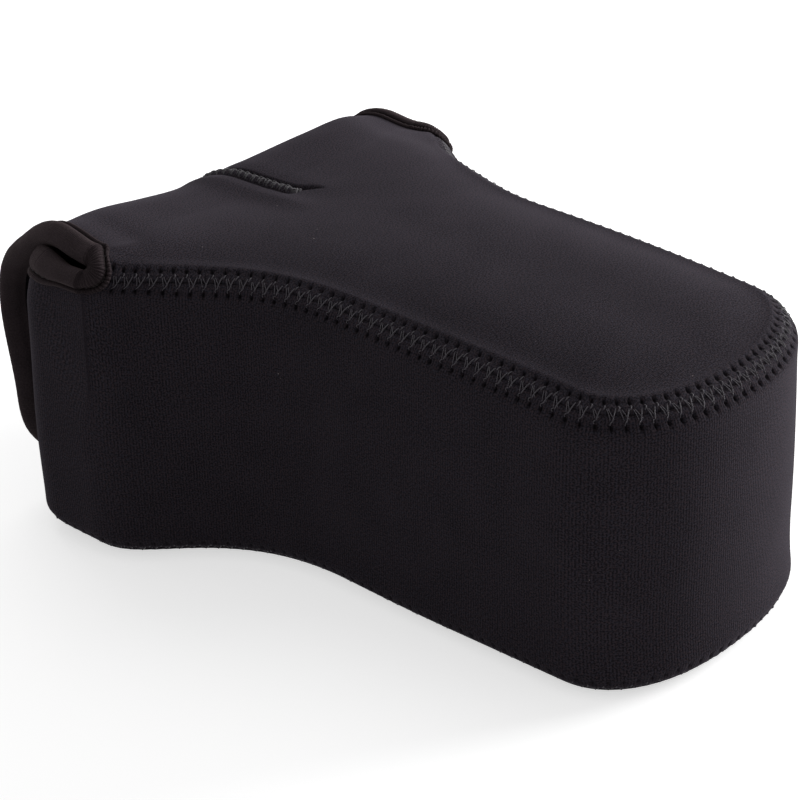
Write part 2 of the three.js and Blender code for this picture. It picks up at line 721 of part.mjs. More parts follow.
// Rounded rectangle as rows of [u, v] for a sheet solid.
function patchRows(centreV, pitchCount) {
  const halfHeight = PATCH_HEIGHT / 2;
  const turn = span(0, Math.PI / 2, 3);
  const low = turn.map((angle) => [
    PATCH_CORNER * (1 - Math.sin(angle)),
    -halfHeight + PATCH_CORNER * (1 - Math.cos(angle)),
  ]);
  const high = low.map(([inset, v]) => [inset, -v]).reverse();
  return [...low, ...high].map(([inset, v]) =>
    span(-1, 1, pitchCount).map((share) => [share * (PATCH_WIDTH / 2 - inset), centreV + v]));
}

// The patches face each other between the flap's hem and the tape of the mouth.
const PATCH_LOW = FLAP_HEM_HEIGHT + TAPE_COVER + PATCH_MARGIN;
const PATCH_MIDDLE = PATCH_LOW + PATCH_HEIGHT / 2;
const PATCH_ON_WALL = CORNER_LENGTH + PATCH_MIDDLE - CORNER_RISE - CORNER_RUN;
const PATCH_ON_FLAP = FLAP_LENGTH - (PATCH_MIDDLE - FLAP_HEM_HEIGHT);
const PATCH_COLUMNS = 4;
const PATCH_OUTER = SEAT_GAP + PATCH_THICKNESS;

function loopPatch() {
  return sheetSolid(wallSkin, patchRows(PATCH_ON_WALL, PATCH_COLUMNS), PATCH_OUTER, SEAT_GAP);
}

function hookPatch() {
  const rows = patchRows(PATCH_ON_FLAP, PATCH_COLUMNS);
  return sheetSolid(flapSkin, rows, -SHEET - SEAT_GAP, -SHEET - PATCH_OUTER);
}

// The parts, their finishes and their scene graph

const CLOTH = { color: 0x2d2a30, roughness: 0.92, metalness: 0 };
const WALL_CLOTH = { color: 0x222025, roughness: 0.94, metalness: 0 };
const TAPE = { color: 0x282225, roughness: 0.85, metalness: 0 };
const THREAD = { color: 0x3f3c42, roughness: 0.7, metalness: 0 };
const DARK_THREAD = { color: 0x161417, roughness: 0.75, metalness: 0 };
const HOOK = { color: 0x141315, roughness: 0.6, metalness: 0 };
const LOOP = { color: 0x1a181b, roughness: 1, metalness: 0 };

function piece(name, geometry, finish) {
  const mesh = new THREE.Mesh(geometry, new THREE.MeshStandardMaterial(finish));
  mesh.name = name;
  return mesh;
}

const mouthEdge = mouthStations();
const flapEdgeLine = flapEdgeStations();

const body = new THREE.Group();
body.add(
  piece('bottom_panel', bottomPanel(), CLOTH),
  piece('side_wall', sideWall(), WALL_CLOTH),
  piece('top_panel', topPanel(), CLOTH),
  piece('mouth_binding', tapeSolid(skin, mouthEdge), TAPE),
  piece('mouth_binding_thread', grooveThread(skin, mouthEdge), DARK_THREAD),
  piece('top_seam_thread', topSeamThread(), THREAD),
  piece('rear_seam_thread', rearSeamThread(), THREAD),
  piece('dart_thread_top', dartTopThread(), DARK_THREAD),
  piece('loop_patch', loopPatch(), LOOP),
);

const flap = new THREE.Group();
flap.add(
  piece('flap_panel', flapPanel(), CLOTH),
  piece('flap_binding', tapeSolid(flapSkin, flapEdgeLine), TAPE),
  piece('flap_binding_thread', grooveThread(flapSkin, flapEdgeLine), DARK_THREAD),
  piece('dart_thread_flap', dartFlapThread(), DARK_THREAD),
  piece('hook_patch', hookPatch(), HOOK),
);

// The origin is the middle of the footprint, on the floor.
const pouch = new THREE.Group();
pouch.add(body, flap);
const extent = new THREE.Box3().setFromObject(pouch);
const middle = extent.getCenter(new THREE.Vector3());
pouch.position.set(-middle.x, -middle.y, -extent.min.z);
pouch.updateMatrixWorld(true);

export default pouch;
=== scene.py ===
"""A soft neoprene camera pouch: cloth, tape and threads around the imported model, in a plain studio."""

import math

import bmesh
import bpy
import numpy as np
from mathutils import Matrix, Vector

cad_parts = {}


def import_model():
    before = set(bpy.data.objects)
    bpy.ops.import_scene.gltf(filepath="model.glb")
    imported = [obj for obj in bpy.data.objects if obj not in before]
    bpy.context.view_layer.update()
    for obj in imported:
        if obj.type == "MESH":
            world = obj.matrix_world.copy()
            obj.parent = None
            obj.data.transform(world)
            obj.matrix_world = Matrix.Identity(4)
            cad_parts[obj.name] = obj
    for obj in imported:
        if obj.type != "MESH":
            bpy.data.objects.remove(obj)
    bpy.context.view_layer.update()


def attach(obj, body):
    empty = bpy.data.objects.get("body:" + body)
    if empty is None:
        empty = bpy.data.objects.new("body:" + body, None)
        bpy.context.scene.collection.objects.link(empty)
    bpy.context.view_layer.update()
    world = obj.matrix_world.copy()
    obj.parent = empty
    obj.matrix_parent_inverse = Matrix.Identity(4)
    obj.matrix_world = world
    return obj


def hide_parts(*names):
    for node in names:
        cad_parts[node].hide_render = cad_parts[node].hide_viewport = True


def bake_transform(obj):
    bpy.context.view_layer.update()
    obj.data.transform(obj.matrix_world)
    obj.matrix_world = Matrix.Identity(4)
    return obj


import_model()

# Millimetres below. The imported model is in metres, with its origin this far from the back wall.
MM = 0.001
Y_SHIFT = 101.670

# Camera, in millimetres: the photograph's view
CAMERA_AT = Vector((-513.46, -563.81 + Y_SHIFT, 409.38))
CAMERA_RIGHT = Vector((0.6730, -0.7393, -0.0232))
CAMERA_UP = Vector((0.3579, 0.2981, 0.8849))
CAMERA_LENS = 104.68
SENSOR_WIDTH = 36.0


def make_camera():
    data = bpy.data.cameras.new("camera")
    data.lens = CAMERA_LENS
    data.sensor_width = SENSOR_WIDTH
    data.clip_start = 0.05
    data.clip_end = 20.0
    obj = bpy.data.objects.new("camera", data)
    right = CAMERA_RIGHT.normalized()
    back = right.cross(CAMERA_UP).normalized()
    up = back.cross(right)
    turn = Matrix((right, up, back)).transposed()
    obj.matrix_world = Matrix.Translation(CAMERA_AT * MM) @ turn.to_4x4()
    bpy.context.scene.collection.objects.link(obj)
    bpy.context.scene.camera = obj


make_camera()

# Sizes, as in the part's source
SHEET = 5.0
REAR_HALF_WIDTH = 89.5
WAIST_HALF_WIDTH = 51.8
NOSE_HALF_WIDTH = 50.0
LENGTH = 223.0
NOSE_DEPTH = 29.5
NOSE_SQUARENESS = 2.2
SHOULDER_LENGTH = 82.5
SHOULDER_REAR_PULL = 22.0
SHOULDER_WAIST_PULL = 58.0
REAR_CORNER_RADIUS = 12.0
SEAM_HEIGHT_REAR = 96.5
SEAM_HEIGHT_MIDDLE = 100.0
SEAM_HEIGHT_NOSE = 93.9
SEAM_FLAT = 3.0
SHOULDER_RADIUS = 7.3
WALL_BULGE = 1.0
TOP_CROWN = 4.0
SLOT_LINE = 28.0
SLOT_REAR_DROP = 4.5
MOUTH_LIP_HEIGHT = 52.0
MOUTH_FLAT_HALF = 18.0
FLAP_HALF_WIDTH = 84.0
FLAP_TAPER = 60.0
FLAP_STAND_OFF = 16.5
FOLD_RADIUS = 30.0
FLAP_HEM_HEIGHT = 11.0
FLAP_CORNER_RADIUS = 28.0
FLAP_FLARE = 2.0
FLARE_START = 25.0
FLAP_CROWN_END = 0.5
HOOD_LENGTH = 20.0
HOOD_SHARE = 0.25
FLAP_TUCK_END = 0.7
DART_END = 38.0
DART_ON_FLAP = 42.0
ROLL_THICKNESS = 2.7
LINING_THICKNESS = 1.6
STITCH_PITCH = 4.2
SEAT_GAP = 0.35
PATCH_WIDTH = 60.0
PATCH_HEIGHT = 20.0
PATCH_THICKNESS = 1.2
PATCH_CORNER = 3.0
PATCH_MARGIN = 1.0

# Sizes that the photograph shows finer than the part's plain solids
CROWN_EASE = 0.08
SLOT_RADIUS = 1.6
NEAR_LIP_RAISE = 3.6
NEAR_LIP_START = 6.0
NEAR_LIP_LENGTH = 14.0
ROLL_REACH = 0.9
ROLL_COVER = 6.9
WELT_WIDTH = 1.9

COS45 = math.sqrt(0.5)
BAND_HALF = SEAM_FLAT / 2
CORNER_LENGTH = BAND_HALF + SHOULDER_RADIUS * math.pi / 4
CORNER_RISE = BAND_HALF * COS45 + SHOULDER_RADIUS * (1 - COS45)
CORNER_RUN = (BAND_HALF + SHOULDER_RADIUS) * COS45
TAPE_COVER = ROLL_COVER + WELT_WIDTH

# The rows of top and bottom run in to a spine on the centre line, which stops short of the ends
SPINE_END = LENGTH - NOSE_HALF_WIDTH * 0.8
BOTTOM_SPINE_START = REAR_HALF_WIDTH * 0.45

# Fine surface
EDGE_GAP = 0.04
HOLE_ROW = 4.1
STRAND_ROW = 3.4
BAND_DIP = 0.3
BAND_EDGE = 2.2
HOLE_ROW_DIP = 0.25
HOLE_DIP = 1.0
HOLE_RADIUS = 0.5
HOLE_LENGTH = 1.1
SEAM_DIP = 0.5
PUFF_HEIGHT = 0.15
PUFF_AT = 7.5
PUFF_WIDTH = 3.0
LOW_DEPTH = 0.6


def smooth(t):
    c = np.clip(t, 0.0, 1.0)
    return c * c * (3.0 - 2.0 * c)


def ramp(at, window):
    """Rises smoothly from 0 to 1 over a window, which is a start and an end."""
    start, end = window
    return smooth((at - start) / (end - start))


def mix(a, b, t):
    return a + (b - a) * t


def bump(t):
    """A soft hump of height 1 at t = 0."""
    return np.exp(-t * t)


def run_of(points):
    """Distance along a line of points."""
    return np.concatenate([[0], np.cumsum(np.linalg.norm(np.diff(points, axis=0), axis=1))])


# Plan outline of the seams, from the middle of the back round the right side to the tip of the nose

NOSE_START = LENGTH - NOSE_DEPTH
SHOULDER_END = SLOT_LINE + SHOULDER_LENGTH
OUTLINE_STEP = 0.25
BACK_COUNT, TURN_COUNT, SHOULDER_COUNT, NOSE_COUNT = 200, 90, 500, 400
DIRECTION_BLUR = 19


def half_outline():
    flat = REAR_HALF_WIDTH - REAR_CORNER_RADIUS
    x = [np.linspace(0, flat, BACK_COUNT)]
    reach = [np.zeros(BACK_COUNT)]
    angle = np.linspace(0, math.pi / 2, TURN_COUNT)[1:]
    x.append(flat + REAR_CORNER_RADIUS * np.sin(angle))
    reach.append(REAR_CORNER_RADIUS * (1 - np.cos(angle)))
    t = np.linspace(0, 1, SHOULDER_COUNT)
    w = [(1 - t) ** 3, 3 * t * (1 - t) ** 2, 3 * t * t * (1 - t), t**3]
    xs = (REAR_HALF_WIDTH, REAR_HALF_WIDTH, WAIST_HALF_WIDTH, WAIST_HALF_WIDTH)
    rs = (SLOT_LINE, SLOT_LINE + SHOULDER_REAR_PULL, SHOULDER_END - SHOULDER_WAIST_PULL, SHOULDER_END)
    x.append(sum(a * b for a, b in zip(w, xs)))
    reach.append(sum(a * b for a, b in zip(w, rs)))
    angle = np.linspace(0, math.pi / 2, NOSE_COUNT)
    power = 2 / NOSE_SQUARENESS
    x.append(NOSE_HALF_WIDTH * np.maximum(np.cos(angle), 0) ** power)
    reach.append(NOSE_START + NOSE_DEPTH * np.sin(angle) ** power)
    x, reach = np.concatenate(x), np.concatenate(reach)
    x[-1] = 0.0
    distance = np.concatenate([[0], np.cumsum(np.hypot(np.diff(x), np.diff(reach)))])
    even = np.linspace(0, distance[-1], int(distance[-1] / OUTLINE_STEP) + 1)
    return even, np.interp(even, distance, x), np.interp(even, distance, reach)


DISTANCE, OUTLINE_X, OUTLINE_REACH = half_outline()
HALF_GIRTH = DISTANCE[-1]


def outline_directions():
    """Outward direction at each outline point, softened a little where two curves meet."""
    x = np.concatenate([-OUTLINE_X[:0:-1], OUTLINE_X, -OUTLINE_X[-2::-1]])
    reach = np.concatenate([OUTLINE_REACH[:0:-1], OUTLINE_REACH, OUTLINE_REACH[-2::-1]])
    kernel = np.hanning(DIRECTION_BLUR)
    kernel /= kernel.sum()
    dx = np.convolve(np.gradient(x), kernel, "same")
    dr = np.convolve(np.gradient(reach), kernel, "same")
    size = np.hypot(dx, dr)
    middle = slice(len(OUTLINE_X) - 1, 2 * len(OUTLINE_X) - 1)
    return (dr / size)[middle], (dx / size)[middle]


OUT_X, OUT_Y = outline_directions()
OUT_X[0], OUT_Y[0], OUT_X[-1], OUT_Y[-1] = 0.0, 1.0, 0.0, -1.0


def outline(along):
    """x, reach and outward direction of the seam line; along is negative on the left."""
    wrapped = along - 2 * HALF_GIRTH * np.round(along / (2 * HALF_GIRTH))
    distance, side = np.abs(wrapped), np.where(wrapped < 0, -1.0, 1.0)
    x = np.interp(distance, DISTANCE, OUTLINE_X) * side
    reach = np.interp(distance, DISTANCE, OUTLINE_REACH)
    out_x = np.interp(distance, DISTANCE, OUT_X)
    out_y = np.interp(distance, DISTANCE, OUT_Y)
    size = np.hypot(out_x, out_y)
    return x, reach, out_x * side / size, out_y / size


def along_at(reach):
    i = np.argmax(OUTLINE_REACH > reach)
    t = (reach - OUTLINE_REACH[i - 1]) / (OUTLINE_REACH[i] - OUTLINE_REACH[i - 1])
    return DISTANCE[i - 1] + t * OUTLINE_STEP


SLOT_ALONG = along_at(SLOT_LINE)
CORNER_ALONG = REAR_HALF_WIDTH - REAR_CORNER_RADIUS


def corner(distance):
    """Inward run, rise and tilt of the soft corner at a distance from the seam."""
    turn = np.clip((distance - BAND_HALF) / SHOULDER_RADIUS, 0, math.pi / 4)
    tilt = math.pi / 4 - turn
    straight = np.minimum(distance, BAND_HALF) * COS45
    flat = np.maximum(distance - CORNER_LENGTH, 0)
    run = straight + SHOULDER_RADIUS * (COS45 - np.sin(tilt)) + flat
    rise = straight + SHOULDER_RADIUS * (np.cos(tilt) - COS45)
    return run, rise, tilt


def seam_height(reach):
    u = reach / LENGTH
    rear = SEAM_HEIGHT_REAR * (1 - u) * (1 - 2 * u)
    middle = 4 * SEAM_HEIGHT_MIDDLE * u * (1 - u)
    return rear + middle + SEAM_HEIGHT_NOSE * u * (2 * u - 1)


def crown(edge_share):
    """Swell of the top, which starts level with the shoulder at its edge."""
    inward = 1 - edge_share
    eased_in = inward**2 * (1 + CROWN_EASE) / (inward + CROWN_EASE)
    return TOP_CROWN * (1 - (1 - eased_in) ** 3)


def hood(reach):
    """How far the edge share is drawn in where the top rises to the flap."""
    return 1 - HOOD_SHARE * smooth((SLOT_LINE - reach) / HOOD_LENGTH)


# How the pouch stands in the photograph: at the back the near side is high and the far one low,
# the near slot ends further forward than the far one, and the foot of the nose spreads.
# The tables pair places with moves. A window is where a move sets in or dies away, start and end:
# by x, by distance ahead of the back wall or, where its name ends in Z, by height.

LEAN_X = np.array([-95.0, -86.0, -79.0, -70.0, -60.0, -45.0, -20.0, 0.0, 45.0, 60.0, 72.0, 85.0, 95.0])
LEAN = np.array([4.6, 4.7, 5.2, 5.8, 5.0, 2.2, -0.9, -1.0, 0.8, 0.6, -2.4, -5.2, -6.5])
LEAN_EASE = 24.0
LEAN_POWER = 1.2
LEAN_MOST = 1.1
LEAN_HEIGHT = 100.0
LEAN_SIDES = (-35.0, 35.0)
NEAR_LEAN = (26.0, 62.0)
NEAR_LEAN_LEFT = 0.35
NEAR_LEAN_END = (85.0, 150.0)
FAR_LEAN_END = (60.0, 112.0)

NEAR_LIFT_Y = np.array([-50.0, -39.0, -30.0, -20.0, -10.0, 2.0, 12.0, 30.0])
NEAR_LIFT = np.array([0.0, 0.2, 3.8, 3.8, 2.2, 0.8, 0.0, 0.0])
NEAR_LIFT_SIDE = (66.0, 82.0)
FAR_LIFT_Y = np.array([-52.0, -40.0, -28.0, -22.0, -14.0, -8.0, -2.0, 6.0, 14.0, 22.0])
FAR_LIFT = np.array([0.0, 0.8, 1.3, 0.6, -0.2, -0.7, -0.4, 1.0, 1.6, 1.6])
FAR_LIFT_SIDE = (62.0, 78.0)
LIFT_EASE = 9.0

NEAR_SHIFT_Y = np.array([-100.0, -75.0, -60.0, -45.0, -37.0, -28.0, -10.0, 2.0, 9.0, 14.0, 17.0, 30.0])
NEAR_SHIFT = np.array([0.0, -0.8, -2.4, -5.2, -6.6, -6.2, -4.8, -4.6, -4.6, -2.4, -1.0, -1.0])
SHIFT_EASE = 10.0
SHIFT_SIDE = (45.0, 75.0)
SHIFT_LOW_Z, SHIFT_LOW_Z_ON_FLAP, SHIFT_RISE_Z = 45.0, 80.0, 18.0
ON_FLAP = (-30.0, -5.0)
FAR_SHIFT = 8.5
FAR_SHIFT_START = (-14.0, 14.0)
FAR_SHIFT_END = (45.0, 90.0)
FAR_SHIFT_Z = (40.0, 90.0)
TIP_LAG = 0.8
TIP_LAG_Z = (-102.0, -93.0)
TIP_LAG_ON_TOP = 0.5
TIP_TOP_X = (-91.0, -79.0)
TIP_START = (27.0, 35.0)
TIP_END = (48.0, 78.0)

HEEL_SPREAD = 1.6
HEEL = (-30.0, 0.0)
FLAP_HEEL = 3.6
BEHIND_WALL = (5.0, 11.0)
HEEL_Z = (30.0, 70.0)

SLOT_TUCK = 4.6
TUCK_BEHIND = 0.7
TUCK_FULL = (28.0, 36.0)
TUCK_START = (8.0, 20.0)
TUCK_END = (40.0, 66.0)
TUCK_SIDE = (60.0, 80.0)
TUCK_LOW_Z = (60.0, 84.0)
TUCK_HIGH_Z = (86.0, 100.0)

FOOT_SPREAD = 2.2
FOOT_HEIGHT = 30.0
FOOT_START = (70.0, 150.0)
FOOT_SIDES = (-30.0, 30.0)
FAR_FOOT = 0.7
FOOT_AHEAD = 1.8
ROUND_NOSE = (150.0, 220.0)
PRESS = 0.3
PRESS_HEIGHT = 6.0
NOSE_TILT = 1.6
NOSE_RISE = 1.2
FAR_NOSE = (90.0, 170.0)
FAR_NOSE_SIDE = (-10.0, 50.0)
FAR_NOSE_Z = (0.0, 90.0)


def eased(at, places, values, width, margin=20, count=500):
    """Reads a short table of places and values, rounded over a width."""
    fine = np.linspace(places[0] - margin, places[-1] + margin, count)
    size = 2 * int(width / (fine[1] - fine[0]) / 2) + 1
    kernel = np.hanning(size + 2)[1:-1]
    table = np.pad(np.interp(fine, places, values), size // 2, "edge")
    return np.interp(at, fine, np.convolve(table, kernel / kernel.sum(), "valid"))


def lean_at(x, y):
    near = mix(1, NEAR_LEAN_LEFT, ramp(-y, NEAR_LEAN)) * (1 - ramp(-y, NEAR_LEAN_END))
    far = 1 - ramp(-y, FAR_LEAN_END)
    lift = eased(y, NEAR_LIFT_Y, NEAR_LIFT, LIFT_EASE) * ramp(-x, NEAR_LIFT_SIDE)
    lift += eased(y, FAR_LIFT_Y, FAR_LIFT, LIFT_EASE) * ramp(x, FAR_LIFT_SIDE)
    return eased(x, LEAN_X, LEAN, LEAN_EASE) * mix(near, far, ramp(x, LEAN_SIDES)) + lift


def shift_at(x, y, z):
    """How far the top of each side is pushed along the pouch."""
    high = smooth((z - mix(SHIFT_LOW_Z, SHIFT_LOW_Z_ON_FLAP, ramp(y, ON_FLAP))) / SHIFT_RISE_Z)
    heel = HEEL_SPREAD * ramp(y, HEEL) - FLAP_HEEL * ramp(y, BEHIND_WALL)
    heel *= 1 - ramp(z, HEEL_Z)
    tip = ramp(-y, TIP_START) * (1 - ramp(-y, TIP_END))
    lag = TIP_LAG * ramp(-z, TIP_LAG_Z) + TIP_LAG_ON_TOP * ramp(x, TIP_TOP_X)
    near = eased(y, NEAR_SHIFT_Y, NEAR_SHIFT, SHIFT_EASE) * high * (1 - tip * lag) + heel
    far = FAR_SHIFT * ramp(-y, FAR_SHIFT_START) * (1 - ramp(-y, FAR_SHIFT_END)) * ramp(z, FAR_SHIFT_Z)
    return ramp(np.abs(x), SHIFT_SIDE) * np.where(x < 0, near, far)


def tuck_at(x, y, z):
    """How far the wall is pushed up under the near slot's tip."""
    place = mix(TUCK_BEHIND, 1, ramp(-y, TUCK_FULL)) * ramp(-y, TUCK_START)
    place *= (1 - ramp(-y, TUCK_END)) * ramp(-x, TUCK_SIDE)
    return SLOT_TUCK * place * ramp(z, TUCK_LOW_Z) * (1 - ramp(z, TUCK_HIGH_Z))


def settle(points):
    """Moves points from the even pattern to the way that the soft pouch stands."""
    x, y, z = points[..., 0], points[..., 1], points[..., 2]
    low = np.clip(1 - z / FOOT_HEIGHT, 0, 1) ** 2
    spread = FOOT_SPREAD * low * ramp(-y, FOOT_START) * mix(1, FAR_FOOT, ramp(x, FOOT_SIDES))
    press = PRESS * np.exp(-((z / PRESS_HEIGHT) ** 2)) * ramp(-y, FOOT_START)
    far_nose = ramp(-y, FAR_NOSE) * ramp(x, FAR_NOSE_SIDE) * ramp(z, FAR_NOSE_Z)
    lean = lean_at(x, y) * np.clip(z / LEAN_HEIGHT, 0, LEAN_MOST) ** LEAN_POWER
    moved = points.copy()
    moved[..., 0] = x + spread * x / WAIST_HALF_WIDTH - NOSE_TILT * far_nose
    moved[..., 1] = y + shift_at(x, y, z) - FOOT_AHEAD * spread * ramp(-y, ROUND_NOSE)
    moved[..., 2] = z * (1 - press) + lean + tuck_at(x, y, z) + NOSE_RISE * far_nose
    return moved


# The dart: a ropy stitched ridge with a deep crease on its far side, which turns out past its end

DART_ROPE = 0.6
DART_ROPE_HALF = 1.5
DART_CREASE = 2.0
DART_CREASE_AT = 2.7
DART_CREASE_TURN = 4.0
DART_NEAR_CREASE = 0.9
DART_NEAR_CREASE_HALF = 0.8
DART_SWELL = 0.7
DART_PUCKER = 8.0
DART_SHADE = 0.95


def crease_at(past):
    return DART_CREASE_AT + DART_CREASE_TURN * smooth((past + 1) / DART_PUCKER)


def crease_half(past):
    return 0.9 + 0.7 * bump((past - 1) / 3) - 0.3 * smooth((past - 3) / 5)


def stitched(past):
    return smooth(0.6 - past / 5)


def creased(past):
    return smooth(1.1 - past / DART_PUCKER)


def near_crease(x):
    return bump((x + DART_CREASE_AT) / DART_NEAR_CREASE_HALF)


def dart_relief(x, past):
    """Height at x from the centre line; past is the distance beyond the last stitch."""
    held = stitched(past)
    rope = DART_ROPE * np.exp(-((x / DART_ROPE_HALF) ** 4)) * held
    far = DART_CREASE * bump((x - crease_at(past)) / crease_half(past)) * creased(past)
    near = DART_NEAR_CREASE * near_crease(x) * held
    swell = DART_SWELL * (bump((x + 8) / 4.5) + 0.4 * bump((x - 9) / 5)) * smooth(1 - past / 20)
    return rope + swell - far - near


# Painted shade in the dart's creases: the deep far crease and the near one beside the rope, where shade falls
# into the folds
def dart_shade(x, past):
    far = bump((x - crease_at(past)) / (crease_half(past) + 0.2)) * creased(past)
    near = 0.6 * near_crease(x) * stitched(past)
    return DART_SHADE * np.maximum(far, near)


# Surface points, in millimetres with the nose along -Y. A lift is measured off the outer face.


def placed(x, y, z):
    return np.stack(np.broadcast_arrays(x, y, z), axis=-1)


def spoke(line, run, first=0.0):
    """A row that runs in from the outline: its start after a run, its spine point and its length."""
    x, reach, out_x, out_y = line
    start_x, start_reach = x - out_x * run, reach + out_y * run
    spine = np.clip(reach, first, SPINE_END)
    return start_x, start_reach, spine, np.hypot(start_x, start_reach - spine)


def top_skin(along, inward, lift):
    line = outline(along)
    run, rise, tilt = corner(np.minimum(inward, CORNER_LENGTH))
    start_x, start_reach, spine, length = spoke(line, run)
    share = np.clip((inward - CORNER_LENGTH) / length, 0, 1)
    px, pr = mix(start_x, 0, share), mix(start_reach, spine, share)
    base = mix(seam_height(line[1]), seam_height(spine), share) + rise
    swell = crown((1 - share) * hood(pr)) * rise / CORNER_RISE
    relief = swell + dart_relief(px, pr - DART_END) * (share > 0)
    side = lift * np.sin(tilt)
    return placed(px + line[2] * side, -pr + line[3] * side, base + relief + lift * np.cos(tilt))


def wall_length(along):
    reach = outline(along)[1]
    return 2 * CORNER_LENGTH + seam_height(reach) - CORNER_RISE - 2 * CORNER_RUN


def wall_skin(along, up, lift):
    x, reach, out_x, out_y = outline(along)
    length = wall_length(along)
    high = seam_height(reach)
    from_top = up > length / 2
    run, rise, tilt = corner(np.where(from_top, length - up, up))
    z = np.where(from_top, high - run, CORNER_RISE + run)
    share = np.clip((z - CORNER_RISE) / (high - CORNER_RISE), 0, 1)
    out = rise + WALL_BULGE * np.sin(math.pi * share) + lift * np.cos(tilt)
    z = z + lift * np.sin(tilt) * np.where(from_top, 1.0, -1.0)
    return placed(x + out_x * out, -reach + out_y * out, z)


def bottom_skin(along, inward, lift):
    line = outline(along)
    run, rise, tilt = corner(np.minimum(inward, CORNER_LENGTH))
    start_x, start_reach, spine, length = spoke(line, run, BOTTOM_SPINE_START)
    share = np.clip((inward - CORNER_LENGTH) / length, 0, 1)
    side = lift * np.sin(tilt)
    px = mix(start_x, 0, share) + line[2] * side
    py = -mix(start_reach, spine, share) + line[3] * side
    return placed(px, py, CORNER_RISE - rise - lift * np.cos(tilt))


def skin(along, above, lift):
    """Outer skin by distance along the seam and distance above (+) or below (-) it."""
    top = top_skin(along, np.maximum(above, 0), lift)
    wall = wall_skin(along, wall_length(along) + np.minimum(above, 0), lift)
    return np.where((above >= 0)[..., None], top, wall)


FLAP_TOP = seam_height(SLOT_LINE) + CORNER_RISE
FOLD_CENTRE_Y = FLAP_STAND_OFF - FOLD_RADIUS
FOLD_CENTRE_Z = FLAP_TOP - FOLD_RADIUS
FLAP_TOP_LENGTH = FOLD_CENTRE_Y + SLOT_LINE
FOLD_LENGTH = FOLD_RADIUS * math.pi / 2
FLAP_BACK_LENGTH = FOLD_CENTRE_Z - FLAP_HEM_HEIGHT
FLAP_LENGTH = FLAP_TOP_LENGTH + FOLD_LENGTH + FLAP_BACK_LENGTH
CLOSED_STACK = CORNER_RISE + WALL_BULGE + 3 * SEAT_GAP + 2 * PATCH_THICKNESS + SHEET
FLAP_TUCK = FLAP_STAND_OFF - CLOSED_STACK
DART_FADE_START = DART_ON_FLAP + 20
DART_FADE_LENGTH = 16


def flap_flat(down):
    return mix(REAR_HALF_WIDTH, FLAP_HALF_WIDTH, smooth(down / FLAP_TAPER)) - CORNER_RUN


def flap_skin(across, down, lift):
    """Outer skin of the flap by distance from the centre line and distance down from the slot line."""
    flat = flap_flat(down)
    side = np.where(across < 0, -1.0, 1.0)
    distance = np.abs(across)
    angle = np.clip((down - FLAP_TOP_LENGTH) / FOLD_RADIUS, 0, math.pi / 2)
    below = np.maximum(down - FLAP_TOP_LENGTH - FOLD_LENGTH, 0)
    ahead = np.minimum(down - FLAP_TOP_LENGTH, 0)
    path_y = FOLD_CENTRE_Y + FOLD_RADIUS * np.sin(angle) + ahead
    path_z = FOLD_CENTRE_Z + FOLD_RADIUS * np.cos(angle) - below
    share = np.clip(distance / flat, 0, 1)
    in_band = distance > flat
    run, rise, tilt = corner(np.where(in_band, flat + CORNER_LENGTH - distance, CORNER_LENGTH))
    x = np.where(in_band, side * (flat + CORNER_RUN - run), across)
    back = np.clip(below / FLAP_BACK_LENGTH, 0, 1)
    shoulder = mix(rise / CORNER_RISE, 1, smooth(down / HOOD_LENGTH))
    swell = crown(share * hood(SLOT_LINE - down)) * shoulder * (1 - smooth(back / FLAP_CROWN_END))
    dart = dart_relief(x, down - DART_ON_FLAP) * smooth((DART_FADE_START - down) / DART_FADE_LENGTH)
    flare = FLAP_FLARE * share**3 * smooth(down / FLARE_START)
    tuck = FLAP_TUCK * smooth(back / FLAP_TUCK_END) * (1 - share**2)
    out = flare + swell + dart - (CORNER_RISE - rise) + lift * np.cos(tilt)
    px = x + side * lift * np.sin(tilt)
    return placed(px, path_y - tuck + np.sin(angle) * out, path_z + np.cos(angle) * out)


# Meshes

WELD_GRID = 2e6


def welded(verts, faces, uv, shade):
    """Merges points that coincide and drops faces that have lost a side."""
    keys = np.round(verts * WELD_GRID).astype(np.int64)
    _, first, index = np.unique(keys, axis=0, return_index=True, return_inverse=True)
    merged = index.reshape(-1)[faces]
    edges = merged != np.roll(merged, -1, axis=1)
    whole = edges.all(axis=1)
    polygons, corners = [merged[whole]], [faces[whole]]
    partly = np.nonzero(edges.sum(axis=1) == 3)[0]
    if len(partly):
        keep = edges[partly]
        polygons.append(merged[partly][keep].reshape(-1, 3))
        corners.append(faces[partly][keep].reshape(-1, 3))
    return verts[first], polygons, corners, uv, shade[first]


